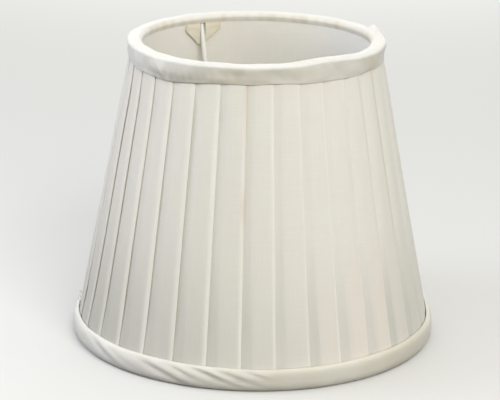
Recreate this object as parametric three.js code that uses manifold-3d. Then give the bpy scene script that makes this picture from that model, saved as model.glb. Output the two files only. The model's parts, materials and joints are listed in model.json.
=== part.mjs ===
// A knife-pleated, tapered lampshade on a wire frame, with a sprung clip that grips a candle bulb.
// Millimetres, +Z up. The origin is on the axis, at the underside of the bottom trim.
// The front, where the shade is usually seen from, faces -Y. Azimuths run anticlockwise from +X.

import * as THREE from 'three';
import { mergeVertices } from 'three/addons/utils/BufferGeometryUtils.js';
import Module from 'manifold-3d';

const wasm = await Module();
wasm.setup();

// Overall sizes, measured over the trims
const HEIGHT = 126;
const TOP_DIAMETER = 106;
const BOTTOM_DIAMETER = 152;

// Wire frame
const RING_WIRE = 2.0;
const STRUT_WIRE = 1.6;
const STRUT_COUNT = 6;
const STRUT_AZIMUTH = 28;

// Drop bar: two arms under the top ring, bent into one straight bar across the axis
const BAR_WIRE = 2.0;
const BAR_DROP = 34;
const BAR_BEND_RADIUS = 6;
const ARM_AZIMUTH = 119.3;
const ARM_LEAN = 0.24;
const ARM_INSET = 0.27;

// Cloth
const COVER_CLOTH = 0.3;
const PLEAT_LAYER_GAP = 0.2;
const PLEAT_COUNT = 33;
const PLEAT_AZIMUTH = 277.5;
const SINGLE_BAND_BOTTOM = 5.6;
const SINGLE_BAND_TOP = 1.6;
const LINING_CLOTH = 0.4;

// Trims: bias strips bound over the rings, fullest a little way in from the edge
const TRIM_CLOTH = 0.5;
const TRIM_EDGE_CLOTH = 0.45;
const TRIM_BULGE = 0.8;
const TOP_TRIM_HEIGHT = 7.8;
const TOP_TRIM_FULLEST = 4.0;
const TOP_LIP_DEPTH = 3.6;
const BOTTOM_TRIM_HEIGHT = 9.2;
const BOTTOM_TRIM_FULLEST = 4.0;
const BOTTOM_LIP_DEPTH = 6.0;
const BOTTOM_FLAT_OUT = 1.6;
const BOTTOM_FLAT_IN = 0.6;

// Gussets: Vs of lining cloth over the slits that let the arms through the lining
const GUSSET_WIDTH = 16;
const GUSSET_CLOTH = 0.3;
const GUSSET_TAIL_END = 3;
const GUSSET_FOOT = 3.9;
const SLIT_SIDE = 0.5;

// Bulb clip
const SADDLE_LENGTH = 12;
const SADDLE_SHEET = 0.8;
const FLANGE_GAP = 0.4;
const FLANGE_DROP = 6.5;
const ROLL_WRAP = 240;
const RIVET_SPACING = 6;
const RIVET_SHANK = 1.6;
const RIVET_HEAD = 3.0;
const RIVET_HEAD_HEIGHT = 0.7;
const LOOP_WIRE = 1.6;
const LOOP_END_GAP = 0.8;
const LOOP_SHOULDER = 2.2;
const LOOP_BELLY_DROP = 36;
const LOOP_BELLY_REACH = 14.6;
const LOOP_WAIST_DROP = 45;
const LOOP_WAIST_REACH = 13.6;
const LOOP_END_DROP = 53;
const LOOP_END_REACH = 16.4;

// Room between pieces that touch on the real shade
const CLEARANCE = 0.3;

// Facets
const ROUND_FACETS = 2 * PLEAT_COUNT;
const ARC_STEPS = 3;
const RING_SIDES = 6;
const WIRE_SIDES = 8;
const WIRE_STEP = 3;
const ROLL_STEPS = 8;
const SLEEVE_STEPS = 10;
const RIVET_SIDES = 12;
const SAME_POINT = 1e-3;

const degrees = THREE.MathUtils.degToRad;
const lerp = THREE.MathUtils.lerp;

// The wall, from the outer face of the pleats inwards. The pleats lie inside both trims' fullest lines.
const pleatStack = 3 * COVER_CLOTH + 2 * PLEAT_LAYER_GAP;
const trimStandOff = CLEARANCE + TRIM_EDGE_CLOTH + TRIM_BULGE;
const topFullestZ = HEIGHT - TOP_TRIM_FULLEST;
const bottomFullestZ = BOTTOM_TRIM_FULLEST;
const coverTopRadius = TOP_DIAMETER / 2 - trimStandOff;
const coverBottomRadius = BOTTOM_DIAMETER / 2 - trimStandOff;
const taper = (coverTopRadius - coverBottomRadius) / (topFullestZ - bottomFullestZ);
const coverRadius = (z) => coverBottomRadius + taper * (z - bottomFullestZ);
const strutInset = pleatStack + CLEARANCE + STRUT_WIRE / 2;
const liningOuterInset = strutInset + STRUT_WIRE / 2 + CLEARANCE;
const liningInnerInset = liningOuterInset + LINING_CLOTH;
const lipOuterInset = liningInnerInset + CLEARANCE;
const lipInnerInset = lipOuterInset + TRIM_CLOTH;

// Heights of the rings, and of the edges of what stands between them
const ringEdge = TRIM_CLOTH + CLEARANCE + RING_WIRE / 2;
const topRingZ = HEIGHT - ringEdge;
const bottomRingZ = ringEdge;
const wallTopZ = topRingZ - RING_WIRE / 2 - CLEARANCE;
const wallBottomZ = bottomRingZ + RING_WIRE / 2 + CLEARANCE;
const topRingRadius = coverRadius(wallTopZ) - strutInset;
const bottomRingRadius = coverRadius(wallBottomZ) - strutInset;

function material(color, roughness, metalness) {
  return new THREE.MeshStandardMaterial({ color, roughness, metalness });
}

function namedMesh(name, geometry, finish) {
  const mesh = new THREE.Mesh(geometry, finish);
  mesh.name = name;
  return mesh;
}

// Points on an ellipse's arc in the radius and height plane, both ends included.
function ellipseArc(centre, halfWidth, halfHeight, fromDegrees, toDegrees, steps = ARC_STEPS) {
  return Array.from({ length: steps + 1 }, (_, i) => {
    const angle = degrees(lerp(fromDegrees, toDegrees, i / steps));
    return new THREE.Vector2(
      centre.x + halfWidth * Math.cos(angle),
      centre.y + halfHeight * Math.sin(angle),
    );
  });
}

// Turns a closed outline, given anticlockwise in radius and height, round the Z axis.
function revolve(outline) {
  const distinct = outline.filter((point, i) => i === 0 || point.distanceTo(outline[i - 1]) > SAME_POINT);
  const geometry = new THREE.LatheGeometry([...distinct, distinct[0].clone()], ROUND_FACETS);
  geometry.rotateX(Math.PI / 2);
  return geometry;
}

// A round wire along a curve, with flat ends. A whole circle gets two points for each curve segment.
function wireAlong(curve, diameter, steps) {
  const section = new THREE.Shape();
  section.absarc(0, 0, diameter / 2, 0, 2 * Math.PI);
  return new THREE.ExtrudeGeometry(section, {
    steps,
    curveSegments: WIRE_SIDES / 2,
    extrudePath: curve,
  });
}

// An even number of steps along a curve, so that one of them ends at its middle.
function evenSteps(curve) {
  return 2 * Math.round(curve.getLength() / WIRE_STEP / 2);
}

function toSolid(geometry) {
  const bare = geometry.clone();
  bare.deleteAttribute('normal');
  bare.deleteAttribute('uv');
  const merged = mergeVertices(bare, SAME_POINT);
  return new wasm.Manifold(new wasm.Mesh({
    numProp: 3,
    vertProperties: new Float32Array(merged.attributes.position.array),
    triVerts: new Uint32Array(merged.index.array),
  }));
}

function fromSolid(solid) {
  const result = solid.getMesh();
  const geometry = new THREE.BufferGeometry();
  geometry.setAttribute('position', new THREE.BufferAttribute(result.vertProperties, 3));
  geometry.setIndex(new THREE.BufferAttribute(result.triVerts, 1));
  geometry.computeVertexNormals();
  return geometry;
}

function cutAway(geometry, ...tools) {
  return fromSolid(tools.reduce((left, tool) => left.subtract(toSolid(tool)), toSolid(geometry)));
}

// Both sides of a strip of even thickness that follows a line of 2D points, mitred at its corners.
function stripSides(points, thickness) {
  const at = (i) => points[THREE.MathUtils.clamp(i, 0, points.length - 1)];
  const sides = [[], []];
  points.forEach((point, i) => {
    const before = point.clone().sub(at(i - 1));
    const after = at(i + 1).clone().sub(point);
    const incoming = (before.lengthSq() > 0 ? before : after).clone().normalize();
    const outgoing = (after.lengthSq() > 0 ? after : before).clone().normalize();
    const across = new THREE.Vector2(
      -(incoming.y + outgoing.y),
      incoming.x + outgoing.x,
    ).normalize();
    const mitre = thickness / 2 / across.dot(new THREE.Vector2(-incoming.y, incoming.x));
    sides[0].push(point.clone().addScaledVector(across, mitre));
    sides[1].push(point.clone().addScaledVector(across, -mitre));
  });
  return sides;
}

// Wire frame

const frameFinish = material(0xd8d6cc, 0.45, 0.2);

function makeRing(name, radius, z) {
  const geometry = new THREE.TorusGeometry(radius, RING_WIRE / 2, RING_SIDES, ROUND_FACETS);
  geometry.translate(0, 0, z);
  return namedMesh(name, geometry, frameFinish.clone());
}

function makeStrut(index) {
  const foot = new THREE.Vector3(bottomRingRadius, 0, wallBottomZ);
  const head = new THREE.Vector3(topRingRadius, 0, wallTopZ);
  const geometry = wireAlong(new THREE.LineCurve3(foot, head), STRUT_WIRE, 1);
  const mesh = namedMesh(`strut_${index + 1}`, geometry, frameFinish.clone());
  mesh.rotation.z = degrees(STRUT_AZIMUTH + (360 / STRUT_COUNT) * index);
  return mesh;
}

// The drop bar and its clip are made with local X along the bar, then turned to the arms' azimuth.
const barZ = HEIGHT - BAR_DROP;
const armTopRadius = topRingRadius - ARM_INSET;
const armFootRadius = armTopRadius - ARM_LEAN * (wallTopZ - barZ);

function makeDropBar() {
  const armTop = new THREE.Vector3(armTopRadius, 0, wallTopZ);
  const corner = new THREE.Vector3(armFootRadius, 0, barZ);
  const bendStart = corner.clone().add(
    armTop.clone().sub(corner).setLength(BAR_BEND_RADIUS),
  );
  const bendEnd = corner.clone().add(new THREE.Vector3(-BAR_BEND_RADIUS, 0, 0));
  const mirrored = (point) => new THREE.Vector3(-point.x, point.y, point.z);
  const path = new THREE.CurvePath();
  path.add(new THREE.LineCurve3(armTop, bendStart));
  path.add(new THREE.QuadraticBezierCurve3(bendStart, corner, bendEnd));
  path.add(new THREE.LineCurve3(bendEnd, mirrored(bendEnd)));
  path.add(new THREE.QuadraticBezierCurve3(mirrored(bendEnd), mirrored(corner), mirrored(bendStart)));
  path.add(new THREE.LineCurve3(mirrored(bendStart), mirrored(armTop)));
  return namedMesh('drop_bar', wireAlong(path, BAR_WIRE, evenSteps(path)), frameFinish.clone());
}

// Cloth

const clothFinish = material(0xe9e6db, 0.75, 0);

// One pleat as a line of points: x is the way round from the last fold edge, y the depth below the outer
// face. The cloth comes from under the last pleat, shows as a single layer, rises to the outer face, folds
// back under itself at the fold edge and turns again at the hidden inner fold.
function pleatLine(pitch, singleBand) {
  const depth = (layer) => -(layer + 0.5) * COVER_CLOTH - layer * PLEAT_LAYER_GAP;
  const turn = (COVER_CLOTH + PLEAT_LAYER_GAP) / 2;
  const innerFold = singleBand;
  return [
    new THREE.Vector2(innerFold - pitch + turn, depth(2)),
    new THREE.Vector2(turn, depth(2)),
    new THREE.Vector2(innerFold - turn, depth(0)),
    new THREE.Vector2(pitch - turn, depth(0)),
    new THREE.Vector2(pitch, (depth(0) + depth(1)) / 2),
    new THREE.Vector2(pitch - turn, depth(1)),
    new THREE.Vector2(innerFold + turn, depth(1)),
    new THREE.Vector2(innerFold, (depth(1) + depth(2)) / 2),
  ];
}

// The whole strip's two sides at one height, laid out flat and then bent round the axis.
function pleatRing(z, singleBand) {
  const radius = coverRadius(z);
  const pitch = (2 * Math.PI * radius) / PLEAT_COUNT;
  const pleat = pleatLine(pitch, singleBand);
  const guard = [-1, 0, 1].flatMap((k) => pleat.map((p) => new THREE.Vector2(p.x + k * pitch, p.y)));
  const middle = (side) => side.slice(pleat.length, 2 * pleat.length);
  return stripSides(guard, COVER_CLOTH).map((side) => Array.from({ length: PLEAT_COUNT }, (_, k) =>
    middle(side).map((point) => {
      const angle = degrees(PLEAT_AZIMUTH) + (point.x + k * pitch) / radius;
      return new THREE.Vector3(
        (radius + point.y) * Math.cos(angle),
        (radius + point.y) * Math.sin(angle),
        z,
      );
    })).flat());
}

function makePleatedCover() {
  const [innerLow, outerLow] = pleatRing(wallBottomZ, SINGLE_BAND_BOTTOM).reverse();
  const [innerHigh, outerHigh] = pleatRing(wallTopZ, SINGLE_BAND_TOP).reverse();
  const rings = [outerLow, outerHigh, innerHigh, innerLow];
  const count = outerLow.length;
  const index = [];
  rings.forEach((_, ring) => {
    const nextRing = (ring + 1) % rings.length;
    for (let i = 0; i < count; i += 1) {
      const j = (i + 1) % count;
      const a = ring * count + i;
      const b = ring * count + j;
      const c = nextRing * count + j;
      const d = nextRing * count + i;
      index.push(a, b, c, a, c, d);
    }
  });
  const geometry = new THREE.BufferGeometry();
  geometry.setFromPoints(rings.flat());
  geometry.setIndex(index);
  geometry.computeVertexNormals();
  return namedMesh('pleated_cover', geometry, clothFinish.clone());
}

// A slit in the lining lets each arm through: it ends where the arm's outer side has left the cloth behind.
const relativeLean = ARM_LEAN - taper;
const armClearOf = (inset) => wallTopZ
  - (armTopRadius + BAR_WIRE / 2 + CLEARANCE - coverRadius(wallTopZ) + inset) / relativeLean;
const slitWidth = BAR_WIRE + 2 * SLIT_SIDE;
const slitEndZ = armClearOf(liningInnerInset);

function makeLining() {
  const cone = revolve([
    new THREE.Vector2(coverRadius(wallBottomZ) - liningInnerInset, wallBottomZ),
    new THREE.Vector2(coverRadius(wallBottomZ) - liningOuterInset, wallBottomZ),
    new THREE.Vector2(coverRadius(wallTopZ) - liningOuterInset, wallTopZ),
    new THREE.Vector2(coverRadius(wallTopZ) - liningInnerInset, wallTopZ),
  ]);
  const slit = new THREE.BoxGeometry(TOP_DIAMETER, slitWidth, 2 * (wallTopZ - slitEndZ));
  slit.translate(0, 0, wallTopZ);
  slit.rotateZ(degrees(ARM_AZIMUTH));
  return namedMesh('lining', cutAway(cone, slit), material(0xdcd8ca, 0.85, 0));
}

// A V of cloth against the lining, with a slot between its tails for the arm. Its flat outline has x the way
// round and y the height, and is then bent round the axis.
function makeGusset(name, azimuth) {
  const topZ = HEIGHT - TOP_LIP_DEPTH - CLEARANCE;
  const backInset = liningInnerInset + CLEARANCE;
  const frontInset = backInset + GUSSET_CLOTH;
  const slotEndZ = armClearOf(frontInset);
  const footZ = slotEndZ - GUSSET_FOOT;
  const outer = GUSSET_WIDTH / 2;
  const slot = slitWidth / 2;
  const outline = new THREE.Shape([
    new THREE.Vector2(-slot, footZ),
    new THREE.Vector2(slot, footZ),
    new THREE.Vector2((slot + outer) / 2, (footZ + topZ - GUSSET_TAIL_END) / 2),
    new THREE.Vector2(outer, topZ - GUSSET_TAIL_END),
    new THREE.Vector2(outer, topZ),
    new THREE.Vector2((slot + outer) / 2, topZ),
    new THREE.Vector2(slot, topZ),
    new THREE.Vector2(slot, slotEndZ),
    new THREE.Vector2(-slot, slotEndZ),
    new THREE.Vector2(-slot, topZ),
    new THREE.Vector2(-(slot + outer) / 2, topZ),
    new THREE.Vector2(-outer, topZ),
    new THREE.Vector2(-outer, topZ - GUSSET_TAIL_END),
    new THREE.Vector2(-(slot + outer) / 2, (footZ + topZ - GUSSET_TAIL_END) / 2),
  ]);
  const geometry = new THREE.ExtrudeGeometry(outline, { depth: GUSSET_CLOTH, bevelEnabled: false });
  const points = geometry.attributes.position;
  for (let i = 0; i < points.count; i += 1) {
    const z = points.getY(i);
    const radius = coverRadius(z) - frontInset + points.getZ(i);
    const angle = points.getX(i) / (coverRadius(topZ) - backInset);
    points.setXYZ(i, radius * Math.cos(angle), radius * Math.sin(angle), z);
  }
  geometry.computeVertexNormals();
  const mesh = namedMesh(name, geometry, material(0xd9cfae, 0.85, 0));
  mesh.rotation.z = degrees(azimuth);
  return mesh;
}

// A trim's section for the top rim; the bottom rim's is the same upside down, with a flat to stand on.
// Heights inside are depths below the rim's edge, and toZ turns them into heights on the shade.
function trimOutline({ fullestRadius, fullest, height, lipDepth, ringRadius, flatOut, flatIn, toZ }) {
  const wall = (depth, inset) => new THREE.Vector2(coverRadius(toZ(depth)) - inset, -depth);
  const wallEdge = ringEdge + RING_WIRE / 2 + CLEARANCE;
  const outerEdge = wall(height, -CLEARANCE - TRIM_EDGE_CLOTH);
  const outerEdgeInside = wall(height, -CLEARANCE);
  const cavityOuter = wall(wallEdge, -CLEARANCE);
  const lipInner = wall(ringEdge, lipInnerInset);
  const lipOuter = wall(ringEdge, lipOuterInset);
  const at = (x, depth) => new THREE.Vector2(x, -depth);
  const outline = [
    ...ellipseArc(at(outerEdge.x, fullest), fullestRadius - outerEdge.x, height - fullest, -90, 0),
    ...ellipseArc(at(ringRadius + flatOut, fullest), fullestRadius - ringRadius - flatOut, fullest, 0, 90),
    ...ellipseArc(at(ringRadius - flatIn, ringEdge), ringRadius - flatIn - lipInner.x, ringEdge, 90, 180),
    wall(lipDepth, lipInnerInset),
    wall(lipDepth, lipOuterInset),
    ...ellipseArc(at(ringRadius, ringEdge), ringRadius - lipOuter.x, ringEdge - TRIM_CLOTH, 180, 90),
    ...ellipseArc(at(ringRadius, wallEdge), cavityOuter.x - ringRadius, wallEdge - TRIM_CLOTH, 90, 0),
    outerEdgeInside,
  ];
  return outline.map((point) => new THREE.Vector2(point.x, toZ(-point.y)));
}

function makeTopTrim() {
  const outline = trimOutline({
    fullestRadius: TOP_DIAMETER / 2,
    fullest: TOP_TRIM_FULLEST,
    height: TOP_TRIM_HEIGHT,
    lipDepth: TOP_LIP_DEPTH,
    ringRadius: topRingRadius,
    flatOut: 0,
    flatIn: 0,
    toZ: (depth) => HEIGHT - depth,
  });
  return namedMesh('top_trim', revolve(outline), material(0xf0eee6, 0.7, 0));
}

function makeBottomTrim() {
  const outline = trimOutline({
    fullestRadius: BOTTOM_DIAMETER / 2,
    fullest: BOTTOM_TRIM_FULLEST,
    height: BOTTOM_TRIM_HEIGHT,
    lipDepth: BOTTOM_LIP_DEPTH,
    ringRadius: bottomRingRadius,
    flatOut: BOTTOM_FLAT_OUT,
    flatIn: BOTTOM_FLAT_IN,
    toZ: (depth) => depth,
  });
  return namedMesh('bottom_trim', revolve(outline.reverse()), material(0xf0eee6, 0.7, 0));
}

// Bulb clip

const steelFinish = material(0xb9bbbd, 0.35, 0.9);
const rollRadius = LOOP_WIRE / 2 + CLEARANCE + SADDLE_SHEET / 2;
const flangeY = (FLANGE_GAP + SADDLE_SHEET) / 2;
const loopHingeY = flangeY + rollRadius;
const loopHingeZ = barZ - FLANGE_DROP;
const rivetZ = barZ - (FLANGE_DROP + BAR_WIRE / 2) / 2;

// A strip of sheet wrapped round the bar: two flanges hang side by side below it and end in outward rolls.
function makeSaddle() {
  const sleeveRadius = BAR_WIRE / 2 + CLEARANCE + SADDLE_SHEET / 2;
  const mouth = THREE.MathUtils.radToDeg(Math.asin(flangeY / sleeveRadius));
  const rightRoll = ellipseArc(
    new THREE.Vector2(loopHingeY, -FLANGE_DROP), rollRadius, rollRadius, ROLL_WRAP - 180, -180, ROLL_STEPS,
  );
  const sleeve = ellipseArc(
    new THREE.Vector2(0, 0), sleeveRadius, sleeveRadius, mouth - 90, 270 - mouth, SLEEVE_STEPS,
  );
  const leftRoll = rightRoll.map((point) => new THREE.Vector2(-point.x, point.y)).reverse();
  const [left, right] = stripSides([...rightRoll, ...sleeve, ...leftRoll], SADDLE_SHEET);
  const section = new THREE.Shape([...right, ...left.reverse()]);
  const geometry = new THREE.ExtrudeGeometry(section, { depth: SADDLE_LENGTH, bevelEnabled: false });
  geometry.translate(0, 0, -SADDLE_LENGTH / 2);
  geometry.rotateX(Math.PI / 2);
  geometry.rotateZ(Math.PI / 2);
  geometry.translate(0, 0, barZ);
  const holes = [-1, 1].map((side) => {
    const hole = new THREE.CylinderGeometry(
      RIVET_SHANK / 2 + CLEARANCE, RIVET_SHANK / 2 + CLEARANCE, 2 * (flangeY + SADDLE_SHEET), RIVET_SIDES,
    );
    hole.translate(side * RIVET_SPACING / 2, 0, rivetZ);
    return hole;
  });
  return namedMesh('clip_saddle', cutAway(geometry, ...holes), steelFinish.clone());
}

// A rivet across the flanges, with a domed head on each outer face.
function makeRivet(index) {
  const shank = RIVET_SHANK / 2;
  const seat = flangeY + SADDLE_SHEET / 2 + CLEARANCE;
  const dome = ellipseArc(new THREE.Vector2(0, seat), RIVET_HEAD / 2, RIVET_HEAD_HEIGHT, 0, 90);
  const half = [
    new THREE.Vector2(shank, seat),
    ...dome.slice(0, -1),
    new THREE.Vector2(0, seat + RIVET_HEAD_HEIGHT),
  ];
  const mirrored = half.map((point) => new THREE.Vector2(point.x, -point.y)).reverse();
  const geometry = new THREE.LatheGeometry([...mirrored, ...half], RIVET_SIDES);
  geometry.translate((index - 0.5) * RIVET_SPACING, 0, rivetZ);
  return namedMesh(`clip_rivet_${index + 1}`, geometry, steelFinish.clone());
}

// A hairpin of spring wire: its top lies in the saddle's roll, where its two ends meet, and its legs
// follow the bulb out to its belly, draw in below it and flare to a round end that leads the bulb in.
function makeLoop(name, side) {
  const rollEndX = SADDLE_LENGTH / 2;
  const legX = rollEndX + LOOP_SHOULDER;
  const at = (x, reach, drop) => new THREE.Vector3(x, side * reach, barZ - drop);
  const half = [
    at(LOOP_END_GAP / 2, loopHingeY, FLANGE_DROP),
    at(rollEndX - LOOP_WIRE, loopHingeY, FLANGE_DROP),
    at(rollEndX, loopHingeY, FLANGE_DROP),
    at(legX, loopHingeY + LOOP_SHOULDER / 2, FLANGE_DROP + LOOP_SHOULDER),
    at(legX, (loopHingeY + LOOP_BELLY_REACH) / 2, (FLANGE_DROP + LOOP_BELLY_DROP) / 2),
    at(legX, LOOP_BELLY_REACH, LOOP_BELLY_DROP),
    at(legX, LOOP_WAIST_REACH, LOOP_WAIST_DROP),
    at(legX * Math.SQRT1_2, (LOOP_WAIST_REACH + LOOP_END_REACH) / 2, (LOOP_WAIST_DROP + LOOP_END_DROP) / 2),
  ];
  const mirrored = half.map((point) => new THREE.Vector3(-point.x, point.y, point.z)).reverse();
  const path = new THREE.CatmullRomCurve3([...half, at(0, LOOP_END_REACH, LOOP_END_DROP), ...mirrored]);
  return namedMesh(name, wireAlong(path, LOOP_WIRE, evenSteps(path)), steelFinish.clone());
}

// Assembly

const shade = new THREE.Group();
shade.name = 'pleated_clip_shade';
shade.add(makeRing('top_ring', topRingRadius, topRingZ));
shade.add(makeRing('bottom_ring', bottomRingRadius, bottomRingZ));
for (let i = 0; i < STRUT_COUNT; i += 1) {
  shade.add(makeStrut(i));
}
shade.add(makePleatedCover());
shade.add(makeLining());
shade.add(makeTopTrim());
shade.add(makeBottomTrim());
shade.add(makeGusset('gusset_rear', ARM_AZIMUTH));
shade.add(makeGusset('gusset_front', ARM_AZIMUTH + 180));

const fitting = new THREE.Group();
fitting.rotation.z = degrees(ARM_AZIMUTH);
fitting.add(makeDropBar());
fitting.add(makeSaddle());
fitting.add(makeRivet(0));
fitting.add(makeRivet(1));
fitting.add(makeLoop('clip_loop_left', 1));
fitting.add(makeLoop('clip_loop_right', -1));
shade.add(fitting);

export default shade;
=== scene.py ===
"""Dressed model of a knife-pleated lampshade with a sprung bulb clip.

Each piece of cloth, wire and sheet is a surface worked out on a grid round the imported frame. Lengths are in
millimetres until a mesh is made. Azimuths are in degrees, anticlockwise from +X, and the front faces -Y.
"""

import json
import logging
import math
from abc import ABC, abstractmethod
from dataclasses import dataclass, field
from enum import Enum
from typing import ClassVar

import bpy
import numpy as np
from mathutils import Matrix, Vector


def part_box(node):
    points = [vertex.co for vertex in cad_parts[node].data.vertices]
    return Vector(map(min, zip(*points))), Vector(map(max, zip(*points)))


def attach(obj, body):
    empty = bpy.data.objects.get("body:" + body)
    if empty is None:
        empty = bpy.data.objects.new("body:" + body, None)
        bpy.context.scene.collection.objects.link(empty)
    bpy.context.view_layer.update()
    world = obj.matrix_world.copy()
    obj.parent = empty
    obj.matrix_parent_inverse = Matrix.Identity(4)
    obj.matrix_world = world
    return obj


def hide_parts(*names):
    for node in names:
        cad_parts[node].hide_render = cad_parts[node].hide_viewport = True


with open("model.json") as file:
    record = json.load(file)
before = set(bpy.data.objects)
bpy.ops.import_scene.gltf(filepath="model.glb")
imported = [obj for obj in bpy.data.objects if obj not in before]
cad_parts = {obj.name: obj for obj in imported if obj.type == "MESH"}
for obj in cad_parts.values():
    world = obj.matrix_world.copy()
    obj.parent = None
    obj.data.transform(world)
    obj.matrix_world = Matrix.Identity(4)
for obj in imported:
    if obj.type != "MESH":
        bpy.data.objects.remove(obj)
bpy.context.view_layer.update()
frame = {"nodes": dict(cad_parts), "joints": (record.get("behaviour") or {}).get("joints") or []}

log = logging.getLogger("pleated_shade")

Array = np.ndarray
Colour = tuple[float, float, float]
Point = tuple[float, float, float]
Span = tuple[float, float]

MM = 0.001
SEED = 8708
UV_LAYER = "cloth_mm"

END_RADII = (0.55, 0.86, 1.0)
END_INSET = 0.3


class Body(Enum):
    """The bodies of the frame that pieces ride on."""

    SHADE = "shade"
    CLIP = "clip"
    LOOP_LEFT = "loop_left"
    LOOP_RIGHT = "loop_right"


class Slot(Enum):
    """The record's material slots."""

    PLEAT = "pleat_cloth"
    LINING = "lining_cloth"
    TRIM = "trim_cloth"
    GUSSET = "gusset_cloth"
    FRAME = "frame_wire"
    CLIP = "clip_steel"
    SPRING = "spring_wire"


class Hold(Enum):
    """How a sheet of cloth is held."""

    FOLDED = "folded"
    STRETCHED = "stretched"


class Mark(Enum):
    """Per-vertex amounts that a cloth finish reads."""

    # Grey: painted shade on the cover and on the top strip's face, and greying elsewhere on the trims.
    GREY = "grey"
    # Stains, and painted shadows in the cover's fold corners and along the gussets' outer edges.
    STAIN_AND_SHADE = "stain"
    BLUSH = "blush"
    # Pale: painted highlights on the cover's fold edges and painted light on the lining.
    PALE = "pale"


def between(first: Array, last: Array, share: Array) -> Array:
    """A value a share of the way from first to last."""
    return first + (last - first) * share


def smoothstep(low: float, high: float, value: Array) -> Array:
    """Goes from 0 at low to 1 at high along 3t² - 2t³, whichever of the two is larger."""
    share = np.clip((value - low) / (high - low), 0.0, 1.0)
    return share * share * (3.0 - 2.0 * share)


def turned(azimuth: Array, centre: float) -> Array:
    """The angle from centre to azimuth, from -180 to 180 degrees."""
    return (azimuth - centre + 180.0) % 360.0 - 180.0


def hump(azimuth: Array, centre: float, reach: float) -> Array:
    """A bell round the shade: exp(-(angle from centre / reach)²)."""
    return np.exp(-((turned(azimuth, centre) / reach) ** 2))


def bell(value: Array, centre: float, reach: float) -> Array:
    """A bell along a length: exp(-((value - centre) / reach)²)."""
    return np.exp(-(((value - centre) / reach) ** 2))


@dataclass(frozen=True)
class Patch:
    """A soft-edged patch of wear or of shape: a bell round the shade, or all round it.

    Its other direction, such as up the wall or down a strip, may have a fade or a band.
    """

    amount: float
    azimuth: float = 0.0
    reach: float = math.inf
    fade: Span | None = None
    band: Span | None = None

    def at(self, azimuth: Array, place: Array | float = 0.0) -> Array:
        """The patch's amount at each point.

        The amount is multiplied by the bell round the shade, by a smoothstep from the fade's first place,
        where nothing is left, to its second, and by a bell with the band's middle and reach.

        Args:
            azimuth: Angle of each point.
            place: Where each point lies in the other direction. Only a fade or a band asks for it.

        Returns:
            The amounts.
        """
        amount = self.amount * hump(azimuth, self.azimuth, self.reach)
        if self.fade is not None:
            amount = amount * smoothstep(*self.fade, place)
        if self.band is not None:
            amount = amount * bell(place, *self.band)
        return amount


def patched(patches: tuple[Patch, ...], azimuth: Array, place: Array | float = 0.0) -> Array:
    """The sum of some patches at each point."""
    return sum(patch.at(azimuth, place) for patch in patches)


@dataclass(frozen=True)
class Ripple:
    """A gentle unevenness that closes round the shade."""

    amount: float
    waves: int
    most_round: int
    tall: float = 1.0

    def at(self, rng: np.random.Generator, azimuth: Array, place: Array | float = 0.0) -> Array:
        """The unevenness at each point, about the amount at most.

        It is the amount times a sum of sines, each with a whole number of waves round the shade, up to one
        and a half waves in the other direction and a random phase, divided by the square root of their count.

        Args:
            rng: Source of the waves' numbers and phases.
            azimuth: Angle of each point in degrees.
            place: Where each point lies in the other direction.

        Returns:
            The unevenness.
        """
        total = np.zeros(np.broadcast_shapes(azimuth.shape, np.shape(place)))
        for _ in range(self.waves):
            count = rng.integers(2, self.most_round + 1)
            climb = rng.uniform(-1.5, 1.5)
            phase = rng.uniform(0.0, 2.0 * np.pi)
            total += np.sin(count * np.radians(azimuth) + 2.0 * np.pi * climb * place / self.tall + phase)
        return self.amount * total / np.sqrt(self.waves)


def round_axis(radius: Array, azimuth: Array, height: Array) -> Array:
    """Points round the Z axis: (r cos a, r sin a, z).

    Args:
        radius: Distance of each point from the axis.
        azimuth: Angle of each point in degrees.
        height: Height of each point.

    Returns:
        The points.
    """
    angle = np.radians(azimuth)
    parts = np.broadcast_arrays(radius * np.cos(angle), radius * np.sin(angle), height)
    return np.stack(parts, axis=-1)


def node_points(node: str) -> Array:
    """The vertices of a CAD node.

    Args:
        node: Name of the node.

    Returns:
        The vertices in millimetres.
    """
    mesh = frame["nodes"][node].data
    flat = np.empty(3 * len(mesh.vertices))
    mesh.vertices.foreach_get("co", flat)
    return flat.reshape(-1, 3) / MM


@dataclass(frozen=True)
class Cone:
    """A cone round the Z axis, given by its radius at two heights."""

    low_z: float
    low_radius: float
    high_z: float
    high_radius: float

    @classmethod
    def through(cls, node: str, inner: bool = False) -> "Cone":
        """The cone through the lower and upper rims of a CAD node.

        Args:
            node: Name of the node.
            inner: Whether to follow its inner face and not its outer one.

        Returns:
            The cone.
        """
        points = node_points(node)
        radius = np.hypot(points[:, 0], points[:, 1])
        height = points[:, 2]
        low, high = height.min(), height.max()
        pick = np.min if inner else np.max
        rim = 0.05
        return cls(low, pick(radius[height < low + rim]), high, pick(radius[height > high - rim]))

    def radius(self, height: Array) -> Array:
        """The radius at a height, on the straight line through both rims."""
        return between(self.low_radius, self.high_radius, self.rise(height))

    def rise(self, height: Array) -> Array:
        """A height as a share of the way from the lower rim to the upper one."""
        return (height - self.low_z) / (self.high_z - self.low_z)


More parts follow.
